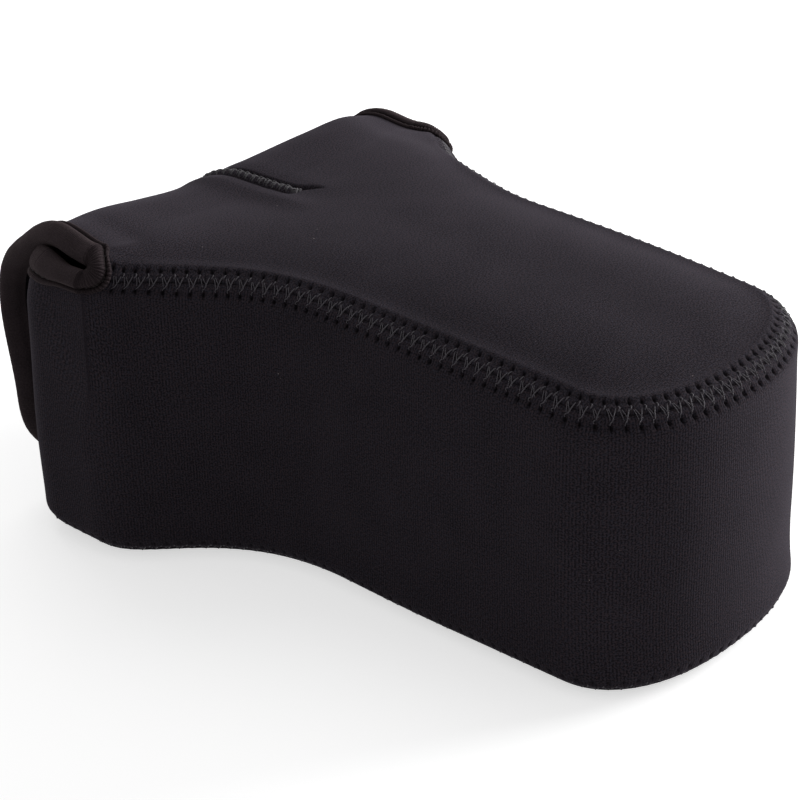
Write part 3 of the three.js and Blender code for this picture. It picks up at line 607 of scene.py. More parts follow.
def make_mesh(name, verts, faces, uv, shade, material, weld=True, fill=False):
    """A mesh from points in millimetres and quads; uv is in millimetres, painted shade from 0 to 1 a point.
    """
    points = (settle(verts) + np.array([0, Y_SHIFT, 0])) * MM
    polygons, corners = [faces], [faces]
    if weld:
        points, polygons, corners, uv, shade = welded(points, faces, uv, shade)
    mesh = bpy.data.meshes.new(name)
    mesh.vertices.add(len(points))
    mesh.vertices.foreach_set("co", points.astype(np.float32).ravel())
    flat = np.concatenate([p.ravel() for p in polygons]).astype(np.int32)
    sizes = np.concatenate([np.full(len(p), p.shape[1]) for p in polygons]).astype(np.int32)
    starts = np.concatenate([[0], np.cumsum(sizes)[:-1]]).astype(np.int32)
    mesh.loops.add(len(flat))
    mesh.loops.foreach_set("vertex_index", flat)
    mesh.polygons.add(len(sizes))
    mesh.polygons.foreach_set("loop_start", starts)
    mesh.polygons.foreach_set("loop_total", sizes)
    layer = mesh.uv_layers.new(name="cloth_mm")
    source = np.concatenate([c.ravel() for c in corners])
    layer.data.foreach_set("uv", (uv[source] * MM).astype(np.float32).ravel())
    attribute = mesh.attributes.new("shade", "FLOAT", "POINT")
    attribute.data.foreach_set("value", shade.astype(np.float32))
    mesh.update(calc_edges=True)
    mesh.validate()
    obj = bpy.data.objects.new(name, mesh)
    bpy.context.scene.collection.objects.link(obj)
    face_outward(mesh, fill)
    mesh.polygons.foreach_set("use_smooth", np.ones(len(mesh.polygons), bool))
    mesh.materials.append(material)
    return obj


def face_outward(mesh, fill):
    work = bmesh.new()
    work.from_mesh(mesh)
    if fill:
        bmesh.ops.holes_fill(work, edges=[edge for edge in work.edges if edge.is_boundary], sides=0)
    bmesh.ops.recalc_face_normals(work, faces=work.faces)
    if work.calc_volume(signed=True) < 0:
        bmesh.ops.reverse_faces(work, faces=work.faces)
    work.to_mesh(mesh)
    work.free()


def grid_faces(rows, columns, offset=0, wrap=False):
    """Quads over a grid of points; wrap joins the last column to the first."""
    last = columns if wrap else columns - 1
    i, j = np.meshgrid(np.arange(rows - 1), np.arange(last), indexing="ij")
    k = (j + 1) % columns
    quads = [i * columns + j, i * columns + k, (i + 1) * columns + k, (i + 1) * columns + j]
    return np.stack([q.ravel() for q in quads], axis=1) + offset


def sheet_faces(rows, columns, close_ends):
    """Quads of a closed sheet: an outer grid, then an inner one, joined round their edges."""
    count = rows * columns
    outer = grid_faces(rows, columns)
    parts = [outer, outer[:, ::-1] + count]
    i = np.arange(rows - 1)
    for j in (0, columns - 1):
        a, b = i * columns + j, (i + 1) * columns + j
        parts.append(np.stack([a, b, b + count, a + count], axis=1))
    j = np.arange(columns - 1)
    for i, wanted in zip((0, rows - 1), close_ends):
        if wanted:
            a, b = i * columns + j, i * columns + j + 1
            parts.append(np.stack([a, b, b + count, a + count], axis=1))
    return np.concatenate(parts)


def make_sheet(name, outer, inner, uv, shade, material, close_ends=(True, True)):
    """A closed sheet from its outer and inner grids of points; the shade is on its outer face."""
    verts = np.concatenate([outer.reshape(-1, 3), inner.reshape(-1, 3)])
    uv = np.concatenate([grid.reshape(-1, 2) for grid in uv])
    shades = np.concatenate([shade.ravel(), np.zeros(shade.size)])
    return make_mesh(name, verts, sheet_faces(*outer.shape[:2], close_ends), uv, shades, material)


# Relief of the sewn band: the cloth sinks between two rows of needle holes and puffs up outside them, with
# painted shade in the holes, along the rows and on the seam line


def hole_phase(along, start, pitch):
    """Distance along to the nearest hole of a row."""
    return (np.abs(along) - start + pitch / 2) % pitch - pitch / 2


def sewn_relief(along, above, first_hole, pitch, fade):
    across = np.abs(above)
    row_start = np.where(above > 0, first_hole, first_hole + pitch / 2)
    to_hole = hole_phase(along, row_start, pitch)
    hole = bump(np.hypot(to_hole / HOLE_RADIUS, (across - HOLE_ROW) / HOLE_LENGTH))
    band = BAND_DIP * (1 - smooth((across - HOLE_ROW + 0.8) / BAND_EDGE))
    row = HOLE_ROW_DIP * bump((across - HOLE_ROW) / HOLE_LENGTH)
    seam = SEAM_DIP * bump(above / 0.5)
    puff = PUFF_HEIGHT * bump((across - PUFF_AT) / PUFF_WIDTH)
    relief = puff - band - row - seam - HOLE_DIP * hole
    # Painted shade: darkens the needle holes, a thin line along each hole row and the sunk seam line, where
    # shade falls in the dips
    shade = hole * 1.2 + 0.1 * bump((across - HOLE_ROW) / 0.7) + 0.3 * bump(above / 0.6)
    return relief * fade, np.clip(shade, 0, 1) * fade


# Both seams close on a whole number of stitches, so both sides of the pouch have the same holes.
SEAM_FIRST = SLOT_ALONG + SLOT_RADIUS + TAPE_COVER + STITCH_PITCH * 0.1
SEAM_STITCHES = round(2 * (HALF_GIRTH - SEAM_FIRST) / STITCH_PITCH)
SEAM_PITCH = 2 * (HALF_GIRTH - SEAM_FIRST) / SEAM_STITCHES
LOW_STITCHES = round(2 * (HALF_GIRTH - STITCH_PITCH) / STITCH_PITCH)
LOW_PITCH = 2 * (HALF_GIRTH - STITCH_PITCH) / LOW_STITCHES


def top_seam_fade(along):
    distance = np.abs(along - 2 * HALF_GIRTH * np.round(along / (2 * HALF_GIRTH)))
    return smooth((distance - SEAM_FIRST + STITCH_PITCH) / 3)


def slot_inset(along):
    past = np.abs(along) - SLOT_ALONG
    ring = np.sqrt(np.maximum(SLOT_RADIUS**2 - np.maximum(past, 0) ** 2, 0))
    return np.where(past > SLOT_RADIUS, EDGE_GAP, np.maximum(ring, EDGE_GAP))


# Top panel and flap: one cut piece

NEAR_SEAM = 13.0
NEAR_COUNT = 24
MIDDLE_COUNT = 26
CENTRE = 9.0
CENTRE_COUNT = 20
POINTS_PER_STITCH = 8
SLOT_TURN = np.sin(np.linspace(0, math.pi / 2, 8))
FLAP_FIRST = 0.6
FLAP_STEP = 0.9
FLAP_TURN_COUNT = 40


def row_distances(inset, total):
    """Distances inward from the seam line at which each row has a point; rows by columns."""
    near = np.linspace(0, 1, NEAR_COUNT)
    middle = np.linspace(0, 1, MIDDLE_COUNT + 1)[1:]
    centre = np.linspace(0, 1, CENTRE_COUNT + 1)[1:]
    inset, total = inset[:, None], total[:, None]
    a = inset + (NEAR_SEAM - inset) * near
    b = NEAR_SEAM + (total - CENTRE - NEAR_SEAM) * middle
    c = total - CENTRE + CENTRE * centre
    return np.concatenate([a, b, c], axis=1)


def repeated(column, count):
    return np.repeat(column[:, None], count, axis=1)


def mirrored(grid):
    """A grid of the right side's values, with the same on the left after them."""
    return np.concatenate([grid, grid[:, -2::-1]], axis=1)


def top_and_flap():
    step = SEAM_PITCH / POINTS_PER_STITCH
    count = int((HALF_GIRTH - SLOT_ALONG - SLOT_RADIUS) / step)
    quarter = SLOT_ALONG + SLOT_RADIUS * SLOT_TURN[:-1]
    rest = np.linspace(SLOT_ALONG + SLOT_RADIUS, HALF_GIRTH, count)
    along = np.concatenate([quarter, rest])[::-1]
    inward = row_distances(slot_inset(along), CORNER_LENGTH + spoke(outline(along), CORNER_RUN)[3])
    stations = repeated(along, inward.shape[1])
    relief, shade = sewn_relief(stations, inward, SEAM_FIRST, SEAM_PITCH, top_seam_fade(stations))
    down = flap_stations()
    flat = flap_flat(down) + CORNER_LENGTH
    across = flat[:, None] - row_distances(np.full(len(down), SLOT_RADIUS), flat)
    across *= (flap_edge(down) / (flat - SLOT_RADIUS))[:, None]
    downs = repeated(down, across.shape[1])

    def both(lift_top, lift_flap):
        right = np.concatenate([top_skin(stations, inward, lift_top), flap_skin(across, downs, lift_flap)])
        left = np.concatenate([top_skin(-stations, inward, lift_top), flap_skin(-across, downs, lift_flap)])
        return np.concatenate([left, right[:, -2::-1]], axis=1)

    outer = both(relief, np.zeros_like(downs))
    inner = both(np.full_like(relief, -SHEET), np.full_like(downs, -SHEET))
    top_y = outer[: len(along), :, 1]
    flap_run = repeated(down, outer.shape[1])
    past = np.concatenate([-top_y - DART_END, flap_run - DART_ON_FLAP])
    # Painted shade of the sewn band's holes and seam line, and of the dart's creases
    shades = mirrored(np.concatenate([shade, np.zeros_like(downs)]))
    shades = np.maximum(shades, dart_shade(outer[..., 0], past))
    uv = np.stack([outer[..., 0], np.concatenate([top_y, flap_run - SLOT_LINE])], axis=-1)
    return make_sheet("top_panel_and_flap", outer, inner, [uv, uv], shades, top_cloth, (False, True))


def flap_edge(down):
    full = flap_flat(down) + CORNER_LENGTH - SLOT_RADIUS
    past = np.maximum(down - (FLAP_LENGTH - FLAP_CORNER_RADIUS), 0)
    ring = np.sqrt(np.maximum(FLAP_CORNER_RADIUS**2 - past**2, 0))
    return full - FLAP_CORNER_RADIUS + ring


def flap_stations():
    straight = np.arange(FLAP_FIRST, FLAP_LENGTH - FLAP_CORNER_RADIUS, FLAP_STEP)
    angle = np.linspace(0, math.pi / 2, FLAP_TURN_COUNT)
    turn = FLAP_LENGTH - FLAP_CORNER_RADIUS * (1 - np.sin(angle))
    return np.concatenate([straight, turn])


# Wall and bottom

LOW_COUNT = 20
WALL_COUNT = 26
BOTTOM_COUNT = 16


def wall_edge(along):
    distance = np.abs(along)
    full = wall_length(along)
    rear = smooth((SLOT_ALONG - distance) / (SLOT_ALONG - CORNER_ALONG))
    lip = CORNER_LENGTH + (MOUTH_LIP_HEIGHT - CORNER_RISE - CORNER_RUN)
    raised = NEAR_LIP_RAISE * smooth((SLOT_ALONG - distance - NEAR_LIP_START) / NEAR_LIP_LENGTH)
    arm = full - SLOT_RADIUS + np.where(along < 0, raised, -SLOT_REAR_DROP * rear)
    low = mix(lip, arm, smooth((distance - MOUTH_FLAT_HALF) / (CORNER_ALONG - MOUTH_FLAT_HALF)))
    return np.where(distance >= SLOT_ALONG, full - slot_inset(along), low)


def side_wall():
    count = int(2 * HALF_GIRTH / (SEAM_PITCH / POINTS_PER_STITCH))
    half = np.linspace(EDGE_GAP, HALF_GIRTH, count // 2)
    clear = half[np.abs(half - SLOT_ALONG - SLOT_RADIUS / 2) > SLOT_RADIUS / 2]
    half = np.unique(np.concatenate([clear, SLOT_ALONG + SLOT_RADIUS * SLOT_TURN]))
    along = np.concatenate([half, -half[-2::-1]])
    edge = wall_edge(along)[:, None]
    low = np.linspace(EDGE_GAP, NEAR_SEAM, LOW_COUNT)
    share = np.linspace(0, 1, WALL_COUNT)[1:]
    near = np.linspace(1, 0, NEAR_COUNT)[1:]
    middle = NEAR_SEAM + (edge - NEAR_SEAM - NEAR_SEAM) * share
    up = np.concatenate([np.repeat(low[None], len(along), axis=0), middle, edge - NEAR_SEAM * near], axis=1)
    stations = repeated(along, up.shape[1])
    below = np.minimum(up - wall_length(stations), -1e-6)
    top_relief, top_shade = sewn_relief(stations, below, SEAM_FIRST, SEAM_PITCH, top_seam_fade(stations))
    low_relief, low_shade = sewn_relief(stations, -up, STITCH_PITCH, LOW_PITCH, np.ones_like(up))
    upper = up > edge / 2
    outer = wall_skin(stations, up, np.where(upper, top_relief, low_relief * LOW_DEPTH))
    inner = wall_skin(stations, up, np.full_like(up, -SHEET))
    shade = np.where(upper, top_shade, low_shade * LOW_DEPTH)
    uv = np.stack([np.where(stations < 0, stations + 2 * HALF_GIRTH, stations), up], axis=-1)
    return make_sheet("side_wall_cloth", outer, inner, [uv, uv], shade, wall_cloth)


def bottom():
    along = np.linspace(0, HALF_GIRTH, int(HALF_GIRTH / (STITCH_PITCH / 4)))
    total = (CORNER_LENGTH + spoke(outline(along), CORNER_RUN, BOTTOM_SPINE_START)[3])[:, None]
    near = np.linspace(EDGE_GAP, NEAR_SEAM, LOW_COUNT)[None]
    share = np.linspace(0, 1, BOTTOM_COUNT)[None, 1:]
    flat = NEAR_SEAM + (total - NEAR_SEAM) * share
    inward = np.concatenate([np.repeat(near, len(along), axis=0), flat], axis=1)
    stations = repeated(along, inward.shape[1])
    relief, shade = sewn_relief(stations, inward, STITCH_PITCH, LOW_PITCH, np.ones_like(inward))

    def both(lift):
        right = bottom_skin(stations, inward, lift)
        return np.concatenate([right * np.array([-1, 1, 1]), right[:, -2::-1]], axis=1)

    outer, inner = both(np.minimum(relief, 0) * LOW_DEPTH), both(np.full_like(relief, -SHEET))
    uv = [outer[..., :2], inner[..., :2]]
    return make_sheet("bottom_panel_cloth", outer, inner, uv, mirrored(shade), top_cloth, (False, False))


# Binding: one tape round the mouth, both slot ends and the flap

RIB_PITCH = 1.3
RIB_HEIGHT = 0.26
RIB_SHADE = 0.6
RIB_LEFT = 0.15
RIB_FADE = (9.0, 25.0)
WELT_HEIGHT = 1.25
WELT_TURN_COUNT = 9
ROLL_TURN_COUNT = 34
ROLL_GAP = 0.86
SLOT_TURN_COUNT = 190
MOUTH_COUNT = 150
HEM_COUNT = 110
GROOVE_HALF = 0.5


def tape_section():
    """Section as [past the edge, lift, rib weight], wound once round the folded tape."""
    top = 0.15 + ROLL_THICKNESS
    low = -SHEET - LINING_THICKNESS
    under = -SHEET - 0.08
    welt_mid = -ROLL_COVER - WELT_WIDTH * 0.55
    section = []
    for a in np.linspace(math.pi, 0, WELT_TURN_COUNT):
        section.append((welt_mid + WELT_WIDTH * 0.5 * math.cos(a), 0.1 + WELT_HEIGHT * math.sin(a), 1.0))
    section += [(-ROLL_COVER + 0.25, 0.25, 0.3), (-ROLL_COVER + 0.6, 0.75, 0.8)]
    reach = ROLL_COVER * 0.5 + 0.55
    for a in np.linspace(ROLL_GAP * math.pi, -ROLL_GAP * math.pi, ROLL_TURN_COUNT):
        past = ROLL_REACH - reach + reach * math.copysign(abs(math.cos(a)) ** 0.9, math.cos(a))
        lift = (top + low) / 2 + (top - low) / 2 * math.copysign(abs(math.sin(a)) ** 0.8, math.sin(a))
        section.append((past, lift, 0.6))
    section += [(-ROLL_COVER + 0.3, -SHEET - 0.35, 0.0), (-ROLL_COVER, under, 0.0)]
    section += [(past, under, 0.0) for past in (-5.0, -2.5, 0.1)]
    section += [(0.3, -SHEET / 2, 0.0)]
    section += [(past, 0.08, 0.0) for past in (0.1, -2.5, -5.0, -TAPE_COVER)]
    return np.array(section)


def mouth_path():
    """The mouth's edge from the left slot end round the back to the right slot end, as u, v, away."""
    turn = np.linspace(-math.pi / 2, math.pi / 2, SLOT_TURN_COUNT)
    right_turn = np.stack([SLOT_ALONG + SLOT_RADIUS * np.cos(turn), SLOT_RADIUS * np.sin(turn)], axis=1)
    along = np.linspace(0, SLOT_ALONG, MOUTH_COUNT)[:-1]
    wall = np.stack([along, wall_edge(along) - wall_length(along)], axis=1)
    right = np.concatenate([wall, right_turn])
    left = right * np.array([-1, 1])
    left[: len(along), 1] = wall_edge(-along) - wall_length(along)
    return np.concatenate([left[:0:-1], right])


def flap_path():
    side = flap_stations()
    right = np.stack([flap_edge(side), side], axis=1)
    hem = np.linspace(right[-1, 0], -right[-1, 0], HEM_COUNT)[1:-1]
    hem = np.stack([hem, np.full(len(hem), FLAP_LENGTH)], axis=1)
    return np.concatenate([right, hem, right[::-1] * np.array([-1, 1])])


def ways(path):
    """Unit direction square to a path, to its right as it runs."""
    step = np.gradient(path, axis=0)
    size = np.hypot(step[:, 0], step[:, 1])
    return np.stack([-step[:, 1] / size, step[:, 0] / size], axis=1)


def tape_rings(skin_at, path, way, section, extra):
    past = section[:, 0][None, :]
    u = path[:, :1] + way[:, :1] * past
    v = path[:, 1:] + way[:, 1:] * past
    return skin_at(u, v, section[:, 1][None, :] + extra)


def bindings():
    """The mouth's tape and the flap's, which meet in one shared ring at each end of the slot line."""
    section = tape_section()
    mouth, flap = mouth_path(), flap_path()
    mouth_way, flap_way = ways(mouth), -ways(flap)
    mouth_way[0] = mouth_way[-1] = (0, -1)
    flap_way[0], flap_way[-1] = (1, 0), (-1, 0)
    n = len(mouth)
    plain_mouth = tape_rings(skin, mouth, mouth_way, section, 0.0)
    plain_flap = tape_rings(flap_skin, flap, flap_way, section, 0.0)
    run = run_of(np.concatenate([plain_mouth, plain_flap])[:, section[:, 0].argmin()])
    tips = run[np.argmin(mouth[:, 0])], run[np.argmax(mouth[:, 0])]
    from_tip = np.min([np.abs(run - tip) for tip in tips], axis=0)
    rib = RIB_HEIGHT * np.cos(2 * math.pi * run / RIB_PITCH) * mix(1.0, RIB_LEFT, ramp(from_tip, RIB_FADE))
    ribs = rib[:, None] * section[:, 2][None, :]
    on_mouth = tape_rings(skin, mouth, mouth_way, section, ribs[:n])
    on_flap = tape_rings(flap_skin, flap, flap_way, section, ribs[n:])
    on_flap[0], on_flap[-1] = on_mouth[-1], on_mouth[0]
    return (
        tape("mouth_binding_tape", section, on_mouth, run[:n], ribs[:n]),
        tape("flap_binding_tape", section, on_flap, run[n:], ribs[n:]),
    )


def tape(name, section, points, run, ribs):
    around = run_of(section[:, :2])
    uv = np.stack(np.broadcast_arrays(run[:, None], around[None, :]), axis=-1).reshape(-1, 2)
    # Painted shade: darker in the tape's stitched groove and in the valleys between its ribs, where shade
    # falls
    groove_shade = bump((section[:, 0] + ROLL_COVER - 0.3) / GROOVE_HALF) * (section[:, 1] > -1)
    shade = np.clip(groove_shade[None] + RIB_SHADE * np.clip(-ribs / RIB_HEIGHT, 0, 1) ** 2, 0, 1).ravel()
    faces = grid_faces(*points.shape[:2], wrap=True)
    return make_mesh(name, points.reshape(-1, 3), faces, uv, shade, tape_cloth, weld=False, fill=True)


# Threads: plied tubes that dive into the cloth at their ends

THREAD_RADIUS = 0.2
FINE_THREAD_RADIUS = 0.14
DART_THREAD_RADIUS = 0.38
DART_FINE_RADIUS = 0.24
THREAD_SIDES = 6
THREAD_END = 0.35
THREAD_CAPS = np.array([[0, 1, 2, 3], [0, 3, 4, 5]])
THREAD_DEPTH = 1.7
GROOVE_STITCH = 2.4
GROOVE_STITCH_GAP = 0.7
GROOVE_STITCH_DIP = 0.5
GROOVE_LIFT = 0.55
GROOVE_AT = ROLL_COVER - 0.25


def threads(name, bundles, material):
    """One mesh of tubes with narrow closed ends; a bundle is a list of lines and their radius."""
    verts, faces, uvs = [], [], []
    offset = 0
    angle = np.linspace(0, 2 * math.pi, THREAD_SIDES, endpoint=False)
    for line, radius in ((line, radius) for lines, radius in bundles for line in lines):
        count = len(line)
        tangent = np.gradient(line, axis=0)
        tangent /= np.linalg.norm(tangent, axis=1)[:, None] + 1e-12
        steep = np.abs(tangent[:, 2:]) > 0.95
        side = np.cross(tangent, np.where(steep, (1.0, 0.0, 0.0), (0.0, 0.0, 1.0)))
        side /= np.linalg.norm(side, axis=1)[:, None]
        other = np.cross(tangent, side)
        size = np.full(count, radius)
        size[0] = size[-1] = radius * THREAD_END
        ring = side[:, None] * np.cos(angle)[None, :, None] + other[:, None] * np.sin(angle)[None, :, None]
        verts.append((line[:, None] + ring * size[:, None, None]).reshape(-1, 3))
        uv = np.stack(np.broadcast_arrays(run_of(line)[:, None], angle[None, :] * radius), axis=-1)
        uvs.append(uv.reshape(-1, 2))
        faces.append(grid_faces(count, THREAD_SIDES, offset, wrap=True))
        faces += [THREAD_CAPS + offset, THREAD_CAPS + offset + (count - 1) * THREAD_SIDES]
        offset += count * THREAD_SIDES
    verts, faces, uv = np.concatenate(verts), np.concatenate(faces), np.concatenate(uvs)
    return make_mesh(name, verts, faces, uv, np.zeros(len(verts)), material, weld=False)


def stitch_line(skin_at, start, end, height, bow, count=12):
    """Points of one thread from hole to hole, over the cloth and down into it at both ends."""
    t = np.linspace(0, 1, count)
    arch = np.sin(math.pi * t) ** 0.5
    u = mix(start[0], end[0], t) + bow[0] * np.sin(math.pi * t)
    v = mix(start[1], end[1], t) + bow[1] * np.sin(math.pi * t)
    return skin_at(u, v, mix(-THREAD_DEPTH, height, arch))


def zigzag_threads(name, skin_at, first, stitches, pitch, relief, seed, wide=STRAND_ROW):
    """A flatlock seam: strands that cross from one row of holes to the other, and loose loops."""
    rng = np.random.default_rng(seed)
    thick, thin = [], []
    for i in range(stitches):
        u = first + i * pitch
        low = u + pitch / 2
        after = u + pitch
        lift = relief + rng.uniform(-0.06, 0.1)
        sway = rng.uniform(-0.25, 0.25, 6)
        thick.append(stitch_line(skin_at, (u, wide), (low, -wide), lift + 0.06, bow=(0.25 + sway[0], 0)))
        thin.append(stitch_line(skin_at, (low, -wide), (after, wide), lift, bow=(-0.3 + sway[1], 0)))
        cross = ((u + 0.2, -wide * 0.8), (after - 0.5 + sway[2], wide * 0.95))
        thin.append(stitch_line(skin_at, *cross, lift, bow=(0.2, 0)))
        tuft = ((u - 0.3, wide * 0.96), (u + 0.5 + sway[3], wide * 0.25 + sway[4]))
        thick.append(stitch_line(skin_at, *tuft, lift + 0.1, bow=(-0.5 + sway[5], 0)))
        foot = ((low + 0.3, -wide * 0.96), (low - 0.6 + sway[2], -wide * 0.45))
        thin.append(stitch_line(skin_at, *foot, lift + 0.08, bow=(0.4 + sway[0], 0)))
    return threads(name, [(thick, THREAD_RADIUS), (thin, FINE_THREAD_RADIUS)], seam_thread)


def groove_threads(name, skin_at, path, way):
    """Short stitches end to end along the tape's groove."""
    u, v = (path - way * GROOVE_AT).T
    run = run_of(skin_at(u, v, np.zeros(len(u))))
    arch = np.sin(math.pi * np.linspace(0, 1, 6)) ** 0.5
    lines = []
    for start in np.arange(1.0, run[-1] - GROOVE_STITCH, GROOVE_STITCH + GROOVE_STITCH_GAP):
        at = np.linspace(start, start + GROOVE_STITCH, 6)
        lift = mix(GROOVE_LIFT - GROOVE_STITCH_DIP, GROOVE_LIFT, arch)
        lines.append(skin_at(np.interp(at, run, u), np.interp(at, run, v), lift))
    return threads(name, [(lines, THREAD_RADIUS)], dark_thread)


def dart_middle(x, down, lift):
    """Skin about the centre line by distance across and distance down from the slot line."""
    flat = flap_skin(x, np.maximum(down, 0), lift)
    reach = SLOT_LINE - np.minimum(down, 0)
    along = np.interp(reach, OUTLINE_REACH[OUTLINE_REACH > 0], DISTANCE[OUTLINE_REACH > 0])
    length = spoke(outline(along), CORNER_RUN)[3]
    top = top_skin(np.where(x < 0, -along, along), CORNER_LENGTH + length - np.abs(x), lift)
    return np.where((down > 0)[..., None], flat, top)


def dart_threads():
    """Heavy overlock loops round the ridge of the dart, from a knot on the top over the fold."""
    rng = np.random.default_rng(7)
    pitch, wide, knots = 3.3, DART_ROPE_HALF + 0.7, 7
    start, end = SLOT_LINE - DART_END - 1.5, DART_ON_FLAP
    thick, thin = [], []

    def strand(line, height, bow):
        return stitch_line(dart_middle, *line, height, count=16, bow=bow)

    for i in range(int((end - start) / pitch)):
        down = start + i * pitch
        sway = rng.uniform(-0.3, 0.3, 6)
        hook = ((-wide, down + sway[0]), (wide, down - 0.5 + sway[1]))
        thick.append(strand(hook, 0.3, (0.0, 0.8 + sway[2])))
        back = ((-wide * 0.9, down + pitch * 0.4), (wide * 0.8, down + pitch * 0.95 + sway[3]))
        thin.append(strand(back, 0.3, (0.0, -0.5)))
        chain = ((wide * 0.35 + sway[4], down), (wide * 0.3 + sway[5], down + pitch * 1.1))
        thin.append(strand(chain, 0.55, (0.5, 0.0)))
    for i in range(knots):
        spot = rng.uniform(-1.0, 1.0, 4) * (1.8, 2.0, 1.8, 2.0)
        knot = ((spot[0], start + spot[1]), (spot[2], start + 0.6 + spot[3]))
        thick.append(strand(knot, 0.5, rng.uniform(-1.2, 1.2, 2)))
    return threads("dart_stitches", [(thick, DART_THREAD_RADIUS), (thin, DART_FINE_RADIUS)], dart_thread)


# Hook and loop patches

PATCH_MIDDLE = FLAP_HEM_HEIGHT + TAPE_COVER + PATCH_MARGIN + PATCH_HEIGHT / 2
PATCH_ON_WALL = CORNER_LENGTH + PATCH_MIDDLE - CORNER_RISE - CORNER_RUN
PATCH_ON_FLAP = FLAP_LENGTH - (PATCH_MIDDLE - FLAP_HEM_HEIGHT)
PATCH_OUTER = SEAT_GAP + PATCH_THICKNESS
PATCH_FOOT = 0.02
PATCH_ROWS, PATCH_COLUMNS = 61, 151
PILE = 0.25
SELVEDGE = 0.25


def patch(name, skin_at, centre, outer, inner, material, seed):
    """A woven patch with round corners and a thin selvedge."""
    rng = np.random.default_rng(seed)
    v = np.linspace(-PATCH_HEIGHT / 2, PATCH_HEIGHT / 2, PATCH_ROWS)
    beyond = np.maximum(np.abs(v) - (PATCH_HEIGHT / 2 - PATCH_CORNER), 0)
    half = PATCH_WIDTH / 2 - PATCH_CORNER + np.sqrt(np.maximum(PATCH_CORNER**2 - beyond**2, 0))
    u = half[:, None] * np.linspace(-1, 1, PATCH_COLUMNS)[None]
    vv = repeated(v, PATCH_COLUMNS)
    border = np.minimum(half[:, None] - np.abs(u), PATCH_HEIGHT / 2 - np.abs(vv))
    pile = smooth((border - 1.5) / 0.8) * rng.uniform(0.0, PILE, u.shape)
    edge = SELVEDGE * (1 - smooth(border / 0.6))
    top = skin_at(u, centre + vv, outer - np.sign(outer - inner) * (PILE + edge - pile))
    low = skin_at(u, centre + vv, np.full_like(u, inner))
    uv = np.stack([u, vv], axis=-1)
    return make_sheet(name, top, low, [uv, uv], np.zeros(u.shape), material)


# Materials


def linear(level):
    """Linear light of a display value from 0 to 255."""
    return level / 255 / 12.92 if level <= 10.3 else ((level / 255 + 0.055) / 1.055) ** 2.4


def srgb(r, g, b):
    """Linear colour from the display values that it is seen as."""
    return linear(r), linear(g), linear(b), 1.0


class Nodes:
    """Short names for the few node types that the materials and the world use."""

    def __init__(self, owner):
        self.owner = owner
        owner.use_nodes = True
        self.tree = owner.node_tree
        self.tree.nodes.clear()

    def add(self, kind, values=None, **settings):
        node = self.tree.nodes.new("ShaderNode" + kind)
        for key, value in settings.items():
            setattr(node, key, value)
        for key, value in (values or {}).items():
            if isinstance(value, bpy.types.NodeSocket):
                self.tree.links.new(value, node.inputs[key])
            else:
                node.inputs[key].default_value = value
        return node

    def math(self, operation, *values, clamp=False):
        return self.add("Math", dict(enumerate(values)), operation=operation, use_clamp=clamp).outputs[0]

    def about(self, middle, noise, amount, clamp=False):
        """A middle value that a noise swings up and down."""
        return self.math("MULTIPLY_ADD", self.math("SUBTRACT", noise, 0.5), amount, middle, clamp=clamp)

    def cloth_uv(self):
        uv = self.add("UVMap", uv_map="cloth_mm")
        split = self.add("SeparateXYZ", {0: uv.outputs[0]})
        return uv.outputs[0], split.outputs[0], split.outputs[1]

    def wave(self, coordinate, period):
        return self.math("SINE", self.math("MULTIPLY", coordinate, 2 * math.pi / (period * MM)))

    def noise(self, vector, scale, detail):
        return self.add("TexNoise", {"Vector": vector, "Scale": scale, "Detail": detail}).outputs[0]

    def cells(self, vector, scale):
        return self.add("TexVoronoi", {"Vector": vector, "Scale": scale, "Randomness": 1.0}, feature="F1")

    def bump(self, height, strength, distance, **settings):
        values = {"Height": height, "Strength": strength, "Distance": distance}
        return self.add("Bump", values, **settings).outputs[0]

    def colour_mix(self, factor, a, b):
        return self.add("Mix", {0: factor, 6: a, 7: b}, data_type="RGBA").outputs[2]

    def shaded(self, colour, strength, dark):
        """Darkens a colour by the painted shade that is stored in the mesh."""
        shade = self.add("Attribute", attribute_name="shade").outputs["Fac"]
        return self.colour_mix(self.math("MULTIPLY", shade, strength, clamp=True), colour, dark)

    def seen(self):
        """1 where the camera, a reflection or a clear thing sees it."""
        ray = self.add("LightPath").outputs
        either = self.math("MAXIMUM", ray["Is Camera Ray"], ray["Is Glossy Ray"])
        return self.math("MAXIMUM", either, ray["Is Transmission Ray"])

    def output(self, kind, shader):
        self.add(kind, {0: shader.outputs[0]})
        return self.owner

    def cloth(self, colour, roughness, sheen, sheen_roughness, sheen_tint, normal, specular):
        values = {
            "Base Color": colour,
            "Roughness": roughness,
            "Specular IOR Level": specular,
            "Sheen Weight": sheen,
            "Sheen Roughness": sheen_roughness,
            "Sheen Tint": sheen_tint,
            "Normal": normal,
        }
        return self.output("OutputMaterial", self.add("BsdfPrincipled", values))


LINT_SCALE = 150.0
LINT_CHOSEN = 0.8
LINT_SIZE = 0.034


